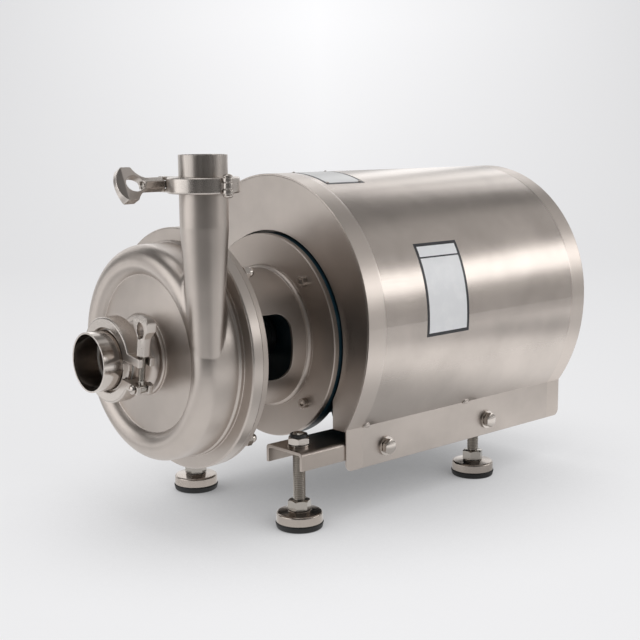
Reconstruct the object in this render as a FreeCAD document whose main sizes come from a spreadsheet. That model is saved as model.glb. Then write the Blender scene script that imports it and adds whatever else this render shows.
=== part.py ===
import FreeCAD, Part
import Sketcher
import math
import os

# Sanitary centrifugal pump with a shrouded motor, in millimetres.
# X runs along the shaft from the suction port to the back of the motor cover, Z is up,
# and the origin is on the floor under the middle of the pump.

Vec = FreeCAD.Vector
Rot = FreeCAD.Rotation
X_DIR = Vec(1, 0, 0)
Y_DIR = Vec(0, 1, 0)
Z_DIR = Vec(0, 0, 1)

doc = FreeCAD.newDocument("sanitary_pump")
sheet = doc.addObject("Spreadsheet::Sheet", "sizes")


# Driving sizes: alias, value
DRIVING_SIZES = [
    # Base and shaft line
    ("base_top", 78.0),
    ("motor_centre_height", 90.0),
    ("flange_face_x", -61.7),
    # Motor, a foot and flange mounted frame of 90 mm centre height
    ("motor_flange_radius", 100.0),
    ("motor_flange_thickness", 12.0),
    ("spigot_radius", 65.0),
    ("spigot_height", 3.5),
    ("flange_bolt_circle", 82.5),
    ("motor_shaft_radius", 12.0),
    ("motor_shaft_length", 50.0),
    ("frame_start", 32.0),
    ("frame_length", 165.0),
    ("frame_bore", 72.0),
    ("frame_wall", 6.0),
    ("fin_height", 10.0),
    ("fin_width", 2.4),
    ("fin_count", 32.0),
    ("foot_hole_first", 56.0),
    ("foot_hole_pitch", 125.0),
    ("foot_hole_half_track", 70.0),
    ("foot_half_width", 84.0),
    ("foot_pad_thickness", 10.0),
    ("stator_bore", 45.0),
    ("air_gap", 0.5),
    ("bearing_outer", 26.0),
    ("bearing_width", 15.0),
    ("fan_cover_length", 66.0),
    ("fan_radius", 68.0),
    ("fan_width", 22.0),
    ("fan_gap", 4.0),
    ("rear_shield_depth", 22.0),
    ("core_front_gap", 24.0),
    ("core_rear_gap", 22.0),
    ("winding_overhang", 14.0),
    ("box_length", 92.0),
    ("box_width", 92.0),
    ("box_height", 46.0),
    ("box_setback", 24.0),
    # Adapter between pump and motor
    ("adapter_disc_thickness", 5.5),
    ("adapter_length", 87.1),
    ("adapter_flange_thickness", 6.3),
    ("adapter_flange_radius", 111.5),
    ("lantern_rear_radius", 68.0),
    ("lantern_front_radius", 62.0),
    ("lantern_wall", 3.0),
    ("bead_radius", 2.6),
    ("window_length", 58.0),
    ("window_half_height", 31.0),
    ("window_corner", 14.0),
    ("adapter_screw_radius", 3.0),
    ("adapter_screw_head", 5.0),
    # Casing
    ("casing_flange_radius", 112.0),
    ("casing_flange_thickness", 11.4),
    ("casing_wall", 3.0),
    ("volute_setback", 39.4),
    ("volute_radius", 84.5),
    ("volute_tube", 14.0),
    ("crease_depth", 6.3),
    ("hub_depth", 9.5),
    ("hub_radius", 37.0),
    ("hub_rise", 3.5),
    ("ledge_radius", 99.8),
    ("ledge_width", 5.0),
    ("cover_rim_radius", 101.5),
    ("cover_rim_thickness", 3.0),
    ("cover_depth", 19.0),
    ("cover_wall", 5.0),
    ("chamber_radius", 31.0),
    ("chamber_length", 22.0),
    ("stud_circle", 106.0),
    ("stud_radius", 3.0),
    ("acorn_flats", 11.0),
    ("acorn_hexagon", 6.0),
    ("acorn_neck", 1.4),
    ("casing_bolt_count", 4.0),
    # Suction connection, 53 mm tube
    ("suction_tube", 26.5),
    ("suction_wall", 1.5),
    ("suction_rim", 32.0),
    ("suction_joint", 41.0),
    ("suction_stub", 25.0),
    ("suction_clamp_outer", 38.0),
    ("suction_clamp_width", 16.0),
    ("suction_nut_length", 36.0),
    # Discharge connection, 41 mm tube
    ("discharge_tube", 20.5),
    ("discharge_wall", 1.5),
    ("discharge_rim", 25.25),
    ("discharge_joint", 153.5),
    ("discharge_stub", 25.0),
    ("discharge_root_inset", 1.5),
    ("discharge_root_drop", 10.0),
    ("discharge_neck", 34.0),
    ("discharge_weld_radius", 6.0),
    ("discharge_clamp_outer", 30.3),
    ("discharge_clamp_width", 13.4),
    ("discharge_nut_length", 45.0),
    # Clamp details
    ("gasket_thickness", 2.0),
    ("rim_thickness", 2.85),
    ("cone_slope", 0.364),
    ("clamp_clearance", 0.3),
    ("lip_clearance", 2.4),
    ("ear_gap", 17.0),
    ("ear_thickness", 7.5),
    ("ear_reach", 6.2),
    ("suction_bolt_offset", 8.0),
    ("discharge_bolt_offset", 6.0),
    ("nut_flats", 11.0),
    ("suction_wing_half_width", 10.5),
    ("discharge_wing_half_width", 14.6),
    ("nut_wing_thickness", 10.5),
    ("clamp_bolt_radius", 3.0),
    ("clamp_slot", 7.0),
    ("clamp_pin_radius", 2.0),
    ("knuckle_radius", 4.5),
    ("tongue_width", 5.2),
    ("nut_gap", 1.1),
    ("running_clearance", 0.05),
    ("moving_clearance", 0.35),
    # Impeller, shaft and seal
    ("impeller_radius", 67.0),
    ("impeller_plate", 3.0),
    ("impeller_gap", 1.5),
    ("vane_thickness", 3.0),
    ("vane_count", 5.0),
    ("impeller_hub", 17.0),
    ("impeller_bore", 9.0),
    ("pump_shaft_radius", 12.5),
    ("sleeve_setback", 46.0),
    ("sleeve_end_gap", 9.0),
    ("coupling_radius", 20.0),
    ("seal_seat_length", 8.0),
    ("seal_face_length", 7.0),
    ("seal_bellows_length", 16.0),
    ("slinger_radius", 27.0),
    # Motor cover
    ("cover_front_gap", 2.5),
    ("cover_behind_fan", 64.7),
    ("cover_radius", 137.0),
    ("cover_centre_rise", 20.0),
    ("sheet_thickness", 1.5),
    ("side_flange_half_width", 106.5),
    ("side_flange_bottom", 50.0),
    ("side_fold", 90.0),
    ("flank_radius", 166.0),
    ("front_opening", 102.5),
    ("opening_half_width", 88.0),
    ("end_plate_gap", 0.2),
    ("flange_corner", 7.0),
    ("cover_bolt_z", 66.0),
    ("cover_bolt_front", 52.1),
    ("cover_bolt_pitch", 149.3),
    ("cover_bolt_radius", 4.0),
    ("bolt_flats", 13.0),
    ("bolt_head", 5.3),
    ("bolt_nut", 6.0),
    ("bolt_tail", 9.0),
    ("cover_washer_radius", 9.4),
    ("vent_length", 90.0),
    ("vent_width", 7.0),
    ("vent_pitch", 17.0),
    ("vent_count", 7.0),
    # Base rails and levelling feet
    ("rail_width", 50.0),
    ("rail_height", 17.0),
    ("rail_thickness", 3.0),
    ("rail_corner", 4.0),
    ("rail_front_x", -113.0),
    ("rail_behind_foot", 16.5),
    ("foot_front_x", -96.5),
    ("foot_behind_frame", 14.2),
    ("foot_half_track", 82.0),
    ("pad_radius", 22.6),
    ("pad_height", 6.4),
    ("cup_radius", 22.0),
    ("cup_height", 9.0),
    ("stem_radius", 6.0),
    ("stem_above_rail", 13.0),
    ("foot_hex_flats", 19.0),
    ("foot_hex_height", 10.0),
    ("lock_nut_height", 10.0),
    ("foot_washer_radius", 10.5),
    ("washer_thickness", 2.0),
]


class Size:
    """A length with its number and the sheet formula that it comes from."""

    def __init__(self, value, formula):
        self.value = float(value)
        self.formula = formula

    def _joined(self, other, sign, result, swap=False):
        text = other.formula if isinstance(other, Size) else repr(float(other))
        left, right = (text, self.formula) if swap else (self.formula, text)
        return Size(result, "(%s %s %s)" % (left, sign, right))

    def __add__(self, other):
        return self._joined(other, "+", self.value + number(other))

    def __radd__(self, other):
        return self._joined(other, "+", number(other) + self.value, True)

    def __sub__(self, other):
        return self._joined(other, "-", self.value - number(other))

    def __rsub__(self, other):
        return self._joined(other, "-", number(other) - self.value, True)

    def __mul__(self, other):
        return self._joined(other, "*", self.value * number(other))

    def __rmul__(self, other):
        return self._joined(other, "*", number(other) * self.value, True)

    def __truediv__(self, other):
        return self._joined(other, "/", self.value / number(other))

    def __neg__(self):
        return Size(-self.value, "(-1 * %s)" % self.formula)


def number(x):
    """The plain number of a size."""
    return x.value if isinstance(x, Size) else float(x)


def root(x):
    """Square root of a size."""
    return Size(math.sqrt(x.value), "sqrt(%s)" % x.formula)


class Sizes:
    """The sheet's cells as sizes, by alias."""


S = Sizes()
for row, (alias, value) in enumerate(DRIVING_SIZES, start=1):
    sheet.set("A%d" % row, alias)
    sheet.set("B%d" % row, str(value))
    sheet.setAlias("B%d" % row, alias)
    setattr(S, alias, Size(value, "sizes.%s" % alias))
doc.recompute()

# Places worked out from the driving sizes
shaft_z = S.base_top + S.motor_centre_height
disc_front_x = S.flange_face_x - S.adapter_disc_thickness
adapter_rear_x = disc_front_x - S.adapter_length
seam_x = adapter_rear_x - S.adapter_flange_thickness
volute_x = seam_x - S.volute_setback
suction_x = volute_x - S.suction_joint
discharge_y = -S.volute_radius
discharge_z = shaft_z + S.discharge_joint
cover_front_x = S.flange_face_x + S.cover_front_gap
cover_centre_z = shaft_z + S.cover_centre_rise
frame_end_x = S.flange_face_x + S.frame_start + S.frame_length
cover_end_x = frame_end_x + S.fan_cover_length + S.cover_behind_fan
cover_length = cover_end_x - cover_front_x
foot_rear_x = frame_end_x + S.foot_behind_frame
rail_length = foot_rear_x + S.rail_behind_foot - S.rail_front_x
suction_bore = S.suction_tube - S.suction_wall
discharge_bore = S.discharge_tube - S.discharge_wall
discharge_root = S.volute_tube - S.discharge_root_inset
half_gasket = S.gasket_thickness / 2


def bind(thing, path, x):
    """Set a property of a document object to a size, with its formula."""
    if isinstance(x, Size):
        thing.setExpression(path, x.formula)


def place(thing, x=0.0, y=0.0, z=0.0, rotation=None):
    """Put a document object at a place whose coordinates may be sizes."""
    rotation = rotation or Rot()
    thing.Placement = FreeCAD.Placement(Vec(number(x), number(y), number(z)), rotation)
    bind(thing, "Placement.Base.x", x)
    bind(thing, "Placement.Base.y", y)
    bind(thing, "Placement.Base.z", z)
    return thing


def towards(direction):
    """The rotation that turns +Z towards a direction."""
    return Rot(Z_DIR, direction)


class Bend:
    """A corner that an outline reaches by an arc instead of a straight line."""

    def __init__(self, u, v, radius, left):
        self.point = (u, v)
        self.radius = radius
        self.left = left


def arc_geometry(start, end, radius, left):
    """The short arc between two points that bulges to the left or right of its chord."""
    mid = (start + end) * 0.5
    chord = end - start
    reach = math.sqrt(max(radius ** 2 - (chord.Length / 2) ** 2, 0.0))
    normal = Vec(-chord.y, chord.x, 0).normalize()
    centre = mid - normal * reach if left else mid + normal * reach
    first = math.atan2(start.y - centre.y, start.x - centre.x)
    last = math.atan2(end.y - centre.y, end.x - centre.x)
    circle = Part.Circle(centre, Z_DIR, radius)
    if left:
        return Part.ArcOfCircle(circle, last, first)
    return Part.ArcOfCircle(circle, first, last)


def draw_loop(sketch, corners):
    """Draw a closed outline of straight lines and arcs, each corner tied to its sizes."""
    points = [c.point if isinstance(c, Bend) else c for c in corners]
    places = [Vec(number(u), number(v), 0) for u, v in points]
    count = len(points)
    ends = []
    for i in range(count):
        after = corners[(i + 1) % count]
        start = places[i]
        end = places[(i + 1) % count]
        if isinstance(after, Bend):
            arc = arc_geometry(start, end, number(after.radius), after.left)
            edge = sketch.addGeometry(arc, False)
            radius = sketch.addConstraint(Sketcher.Constraint("Radius", edge, number(after.radius)))
            bind(sketch, "Constraints[%d]" % radius, after.radius)
            ends.append((edge, 2, 1) if after.left else (edge, 1, 2))
        else:
            edge = sketch.addGeometry(Part.LineSegment(start, end), False)
            ends.append((edge, 1, 2))
    for i in range(count):
        edge, _, tail = ends[i]
        follower, head, _ = ends[(i + 1) % count]
        sketch.addConstraint(Sketcher.Constraint("Coincident", edge, tail, follower, head))
    for i in range(count):
        edge, head, _ = ends[i]
        for kind, coordinate in (("DistanceX", points[i][0]), ("DistanceY", points[i][1])):
            tie = Sketcher.Constraint(kind, -1, 1, edge, head, number(coordinate))
            bind(sketch, "Constraints[%d]" % sketch.addConstraint(tie), coordinate)


def rounded_rectangle(left, right, low, high, corner):
    """A rectangle with rounded corners."""
    return [
        Bend(left + corner, low, corner, False),
        (right - corner, low),
        Bend(right, low + corner, corner, False),
        (right, high - corner),
        Bend(right - corner, high, corner, False),
        (left + corner, high),
        Bend(left, high - corner, corner, False),
        (left, low + corner),
    ]


def draw_circle(sketch, u, v, radius):
    """Draw a circle tied to its sizes."""
    centre = Vec(number(u), number(v), 0)
    edge = sketch.addGeometry(Part.Circle(centre, Z_DIR, number(radius)), False)
    for kind, coordinate in (("DistanceX", u), ("DistanceY", v)):
        tie = Sketcher.Constraint(kind, -1, 1, edge, 3, number(coordinate))
        bind(sketch, "Constraints[%d]" % sketch.addConstraint(tie), coordinate)
    tie = Sketcher.Constraint("Radius", edge, number(radius))
    bind(sketch, "Constraints[%d]" % sketch.addConstraint(tie), radius)


def new_body(name):
    """A new body whose label is its node name."""
    body = doc.addObject("PartDesign::Body", name)
    body.Label = name
    return body


def new_sketch(body, plane, offset=(0.0, 0.0, 0.0)):
    """A sketch on one of the body's own planes, shifted by sizes along the sketch's axes."""
    sketch = body.newObject("Sketcher::SketchObject", body.Name + "_sketch")
    origin_plane = [f for f in body.Origin.OriginFeatures if f.Role == plane][0]
    sketch.AttachmentSupport = [(origin_plane, "")]
    sketch.MapMode = "FlatFace"
    sketch.AttachmentOffset = FreeCAD.Placement(Vec(*[number(v) for v in offset]), Rot())
    for axis, shift in zip("xyz", offset):
        bind(sketch, "AttachmentOffset.Base.%s" % axis, shift)
    return sketch


def revolve(body, sketch, axis="H_Axis", cut=False):
    """Turn a sketch all the way round one of its axes."""
    kind = "PartDesign::Groove" if cut else "PartDesign::Revolution"
    feature = body.newObject(kind, body.Name + ("_groove" if cut else "_turn"))
    feature.Profile = sketch
    feature.ReferenceAxis = (sketch, [axis])
    feature.Angle = 360
    return feature


def pad(body, sketch, length, midplane=False, reverse=False):
    """Extrude a sketch."""
    feature = body.newObject("PartDesign::Pad", body.Name + "_pad")
    feature.Profile = sketch
    feature.Length = number(length)
    bind(feature, "Length", length)
    feature.Midplane = midplane
    feature.Reversed = reverse
    return feature


def pocket(body, sketch, length, midplane=True, reverse=False):
    """Cut a sketch through the body."""
    feature = body.newObject("PartDesign::Pocket", body.Name + "_pocket")
    feature.Profile = sketch
    feature.Length = number(length)
    bind(feature, "Length", length)
    feature.Midplane = midplane
    feature.Reversed = reverse
    return feature


def polar(body, features, axis, count):
    """Repeat features round one of the body's axes."""
    pattern = body.newObject("PartDesign::PolarPattern", body.Name + "_pattern")
    pattern.Originals = features
    line = [f for f in body.Origin.OriginFeatures if f.Role == axis][0]
    pattern.Axis = (line, [""])
    pattern.Angle = 360
    pattern.Occurrences = int(number(count))
    bind(pattern, "Occurrences", count)
    body.Tip = pattern
    return pattern


def turned(name, corners, x=0.0, z=shaft_z, plane="XZ_Plane", axis="H_Axis"):
    """A round piece about the shaft line, from its half section as (x, radius)."""
    body = new_body(name)
    place(body, x, 0.0, z)
    sketch = new_sketch(body, plane)
    draw_loop(sketch, corners)
    revolve(body, sketch, axis)
    return body


def cylinder(name, radius, length, x, y, z, direction=Z_DIR):
    """A plain cylinder from its base centre along a direction."""
    solid = doc.addObject("Part::Cylinder", name)
    solid.Radius = number(radius)
    solid.Height = number(length)
    bind(solid, "Radius", radius)
    bind(solid, "Height", length)
    return place(solid, x, y, z, towards(direction))


def box(name, length, width, height, x, y, z):
    """A plain box from its lowest corner."""
    solid = doc.addObject("Part::Box", name)
    for path, value in (("Length", length), ("Width", width), ("Height", height)):
        setattr(solid, path, number(value))
        bind(solid, path, value)
    return place(solid, x, y, z)


def hexagon(name, flats, height, x, y, z, direction=Z_DIR):
    """A hexagon bar stated by its width across flats."""
    solid = doc.addObject("Part::Prism", name)
    solid.Polygon = 6
    across_corners = flats / math.sqrt(3)
    solid.Circumradius = number(across_corners)
    solid.Height = number(height)
    bind(solid, "Circumradius", across_corners)
    bind(solid, "Height", height)
    return place(solid, x, y, z, towards(direction))


def fuse(name, pieces):
    """Join pieces into one solid."""
    joined = doc.addObject("Part::MultiFuse", name)
    joined.Shapes = pieces
    joined.Refine = True
    return joined


def cut(name, base, tool):
    """Take one piece out of another."""
    result = doc.addObject("Part::Cut", name)
    result.Base = base
    result.Tool = tool
    result.Refine = True
    return result


def common(name, pieces):
    """Keep only what pieces share."""
    shared = doc.addObject("Part::MultiCommon", name)
    shared.Shapes = pieces
    return shared


def group(name, pieces):
    """Several separate solids that make one node."""
    compound = doc.addObject("Part::Compound", name)
    compound.Links = pieces
    return compound


NODES = []


def node(thing, name):
    """Mark a document object as a sub-part with a node name of its own."""
    thing.Label = name
    NODES.append(thing)
    return thing


def blend_root(body, radius):
    """Blend the discharge cone into the ring that it leaves, like a dressed weld."""
    doc.recompute()
    tip = body.Tip
    names = []
    for i, edge in enumerate(tip.Shape.Edges, start=1):
        faces = [f for f in tip.Shape.Faces if any(e.isSame(edge) for e in f.Edges)]
        kinds = [type(f.Surface).__name__ for f in faces]
        if "Cone" in kinds and type(edge.Curve).__name__ == "BSplineCurve":
            names.append("Edge%d" % i)
    fillet = body.newObject("PartDesign::Fillet", body.Name + "_blend")
    fillet.Base = (tip, names)
    fillet.Radius = number(radius)
    bind(fillet, "Radius", radius)


# Volute casing: a pressed annular casing with a dished front, a suction neck and a
# tangential discharge that widens towards its ferrule
def make_casing():
    tube = S.volute_tube
    inner_tube = tube - S.casing_wall
    wall = S.casing_wall
    drum = S.volute_radius + tube
    drum_bore = drum - wall
    flange_back = S.volute_setback
    flange_front = flange_back - S.casing_flange_thickness
    crease = S.crease_depth
    crease_radius = S.volute_radius - root(tube * tube - crease * crease)
    inner_crease = crease - wall
    inner_crease_radius = S.volute_radius - root(inner_tube * inner_tube - inner_crease * inner_crease)
    hub_x = -S.hub_depth
    joint = -S.suction_joint + half_gasket
    cone_width = (S.suction_rim - S.suction_tube) * S.cone_slope
    neck = S.suction_tube
    body = new_body("volute_casing")
    place(body, volute_x, 0.0, shaft_z)
    outer = new_sketch(body, "XZ_Plane")
    draw_loop(outer, [
        (joint, suction_bore),
        (joint, S.suction_rim),
        (joint + S.rim_thickness, S.suction_rim),
        (joint + S.rim_thickness + cone_width, neck),
        (hub_x - S.hub_rise - 7.0, neck),
        Bend(hub_x - S.hub_rise, neck + 5.0, 8.0, False),
        (hub_x - S.hub_rise, S.hub_radius - 2.0),
        Bend(hub_x - S.hub_rise + 2.0, S.hub_radius, 2.0, True),
        (hub_x, S.hub_radius),
        (-crease, crease_radius),
        Bend(0.0, drum, tube, True),
        (flange_front - S.ledge_width, drum),
        (flange_front - S.ledge_width + 1.5, S.ledge_radius),
        (flange_front, S.ledge_radius),
        (flange_front, S.casing_flange_radius - 1.0),
        (flange_front + 1.0, S.casing_flange_radius),
        (flange_back - 0.3, S.casing_flange_radius),
        (flange_back - 0.3, S.cover_rim_radius + 0.2),
        (flange_back - S.cover_rim_thickness, S.cover_rim_radius + 0.2),
        (flange_back - S.cover_rim_thickness, suction_bore),
    ])
    revolve(body, outer)
    pipe = new_sketch(body, "YZ_Plane", (-S.volute_radius, 0.0, 0.0))
    top = S.discharge_joint - half_gasket
    rim_cone = (S.discharge_rim - S.discharge_tube) * S.cone_slope
    draw_loop(pipe, [
        (0.0, -S.discharge_root_drop),
        (discharge_root, -S.discharge_root_drop),
        (S.discharge_tube, top - S.discharge_neck),
        (S.discharge_tube, top - S.rim_thickness - rim_cone),
        (S.discharge_rim, top - S.rim_thickness),
        (S.discharge_rim, top),
        (0.0, top),
    ])
    revolve(body, pipe, "V_Axis")
    blend_root(body, S.discharge_weld_radius)
    hollow = new_sketch(body, "XZ_Plane")
    draw_loop(hollow, [
        (joint - 1.0, 0.0),
        (joint - 1.0, suction_bore),
        (hub_x - S.hub_rise - 1.0, suction_bore),
        (hub_x + wall, suction_bore + 5.0),
        (-inner_crease, inner_crease_radius),
        Bend(0.0, drum_bore, inner_tube, True),
        (flange_back, drum_bore),
        (flange_back, 0.0),
    ])
    revolve(body, hollow, cut=True)
    bore = new_sketch(body, "YZ_Plane", (-S.volute_radius, 0.0, 0.0))
    draw_loop(bore, [
        (0.0, -S.discharge_root_drop + wall),
        (discharge_root - wall, -S.discharge_root_drop + wall),
        (discharge_bore, top - S.discharge_neck),
        (discharge_bore, top + 1.0),
        (0.0, top + 1.0),
    ])
    revolve(body, bore, "V_Axis", cut=True)
    stud_holes = new_sketch(body, "YZ_Plane", (0.0, 0.0, flange_back))
    offset = S.stud_circle / math.sqrt(2)
    draw_circle(stud_holes, offset, offset, S.stud_radius + 0.01)
    hole = pocket(body, stud_holes, S.casing_flange_thickness)
    polar(body, [hole], "X_Axis", S.casing_bolt_count)
    node(body, "volute_casing")


# Dished back cover with its rim held between the two flanges and the seal chamber behind
def make_back_cover():
    rim = S.cover_rim_radius
    skirt = S.volute_radius + S.volute_tube - S.casing_wall - 0.4
    front = -S.cover_depth
    node(turned("back_cover", [
        (front, S.pump_shaft_radius + 2.0),
        (front, skirt - 3.0),
        Bend(front + 3.0, skirt, 3.0, True),
        (-S.cover_rim_thickness, skirt),
        (-S.cover_rim_thickness, rim - 4.0),
        (-S.cover_rim_thickness + 1.2, rim - 4.0),
        (-S.cover_rim_thickness + 1.2, rim - 1.0),
        (-S.cover_rim_thickness, rim - 1.0),
        (-S.cover_rim_thickness, rim),
        (0.0, rim),
        (0.0, skirt - S.cover_wall),
        (front + S.cover_wall, skirt - S.cover_wall),
        (front + S.cover_wall, S.chamber_radius),
        (front + S.chamber_length, S.chamber_radius),
        (front + S.chamber_length, S.coupling_radius + 1.0),
        (front + S.cover_wall, S.coupling_radius + 1.0),
        (front + S.cover_wall, S.pump_shaft_radius + 2.0),
    ], seam_x), "back_cover")
    node(turned("casing_seal_ring", [
        (-S.cover_rim_thickness + 0.05, rim - 3.9),
        (-S.cover_rim_thickness + 0.05, rim - 1.1),
        (-S.cover_rim_thickness + 1.15, rim - 1.1),
        (-S.cover_rim_thickness + 1.15, rim - 3.9),
    ], seam_x), "casing_seal_ring")


# Adapter: front flange, windowed lantern and the disc that bolts to the motor
def make_adapter():
    length = S.adapter_length
    front = -length - S.adapter_flange_thickness
    flange = S.adapter_flange_thickness
    body = new_body("motor_adapter")
    place(body, disc_front_x, 0.0, shaft_z)
    section = new_sketch(body, "XZ_Plane")
    draw_loop(section, [
        (front, S.chamber_radius + 8.0),
        (front, S.adapter_flange_radius),
        (front + flange - 1.0, S.adapter_flange_radius),
        (front + flange, S.adapter_flange_radius - 1.0),
        (front + flange, S.lantern_front_radius),
        (-S.bead_radius * 2, S.lantern_rear_radius - 1.0),
        Bend(0.0, S.lantern_rear_radius + S.bead_radius - 1.0, S.bead_radius * 1.6, True),
        (0.0, S.motor_flange_radius - 0.8),
        (0.8, S.motor_flange_radius),
        (S.adapter_disc_thickness, S.motor_flange_radius),
        (S.adapter_disc_thickness, S.spigot_radius + 0.1),
        (-2.0, S.spigot_radius + 0.1),
        (front + flange + 4.0, S.lantern_front_radius - S.lantern_wall),
        (front + flange, S.lantern_front_radius - S.lantern_wall),
        (front + flange, S.chamber_radius + 8.0),
    ])
    revolve(body, section)
    window = new_sketch(body, "XZ_Plane")
    low = front + flange + 8.0
    high = low + S.window_length
    half = S.window_half_height
    corner = S.window_corner
    draw_loop(window, rounded_rectangle(low, high, -half, half, corner))
    pocket(body, window, S.motor_flange_radius * 2)
    screw_holes = new_sketch(body, "YZ_Plane")
    offset = S.flange_bolt_circle / math.sqrt(2)
    draw_circle(screw_holes, offset, offset, S.adapter_screw_radius + 0.3)
    hole = pocket(body, screw_holes, S.adapter_disc_thickness * 4)
    stud_holes = new_sketch(body, "YZ_Plane", (0.0, 0.0, front))
    offset = S.stud_circle / math.sqrt(2)
    draw_circle(stud_holes, offset, offset, S.stud_radius + 0.3)
    stud = pocket(body, stud_holes, flange * 4)
    polar(body, [hole, stud], "X_Axis", S.casing_bolt_count)
    node(body, "motor_adapter")


def four_corners(circle, count):
    """Places round the shaft line, first at 45 degrees, as (y, z) sizes and a turn."""
    places = []
    for i in range(int(number(count))):
        turn = math.radians(45 + i * 360 / number(count))
        places.append((circle * math.cos(turn), shaft_z + circle * math.sin(turn)))
    return places


# Casing studs with acorn nuts, and the socket screws of the motor flange
def make_adapter_fasteners():
    studs = []
    nuts = []
    screws = []
    stud_start = seam_x - S.casing_flange_thickness / 2
    nut_start = adapter_rear_x
    stud_length = S.casing_flange_thickness / 2 + S.adapter_flange_thickness + 7.0
    for i, (y, z) in enumerate(four_corners(S.stud_circle, S.casing_bolt_count)):
        studs.append(cylinder("stud_%d" % i, S.stud_radius, stud_length, stud_start, y, z, X_DIR))
        hexa = hexagon("acorn_hex_%d" % i, S.acorn_flats, S.acorn_hexagon, nut_start, y, z, X_DIR)
        crown = new_body("acorn_crown_%d" % i)
        sketch = new_sketch(crown, "XZ_Plane")
        radius = S.acorn_flats / 2 - 0.3
        shoulder = S.acorn_hexagon + S.acorn_neck
        draw_loop(sketch, [
            (S.acorn_hexagon / 2, 0.0),
            (S.acorn_hexagon / 2, radius),
            (shoulder, radius),
            Bend(shoulder + radius, 0.0, radius, True),
        ])
        revolve(crown, sketch)
        place(crown, nut_start, y, z)
        whole = fuse("acorn_whole_%d" % i, [hexa, crown])
        bore = cylinder("acorn_bore_%d" % i, S.stud_radius + 0.02, 8.0, nut_start - 0.5, y, z, X_DIR)
        nuts.append(cut("acorn_%d" % i, whole, bore))
    for i, (y, z) in enumerate(four_corners(S.flange_bolt_circle, S.casing_bolt_count)):
        head_x = disc_front_x - 5.0
        head = cylinder("screw_head_%d" % i, S.adapter_screw_head, 5.0, head_x, y, z, X_DIR)
        shank_length = S.adapter_disc_thickness + S.motor_flange_thickness
        shank_x = head_x + 3.0
        shank = cylinder("screw_shank_%d" % i, S.adapter_screw_radius, shank_length, shank_x, y, z, X_DIR)
        socket = hexagon("screw_socket_%d" % i, S.adapter_screw_head, 3.0, head_x - 0.5, y, z, X_DIR)
        screws.append(cut("screw_%d" % i, fuse("screw_whole_%d" % i, [head, shank]), socket))
    node(group("casing_studs", studs), "casing_studs")
    node(group("casing_acorn_nuts", nuts), "casing_acorn_nuts")
    node(group("adapter_screws", screws), "adapter_screws")


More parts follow.
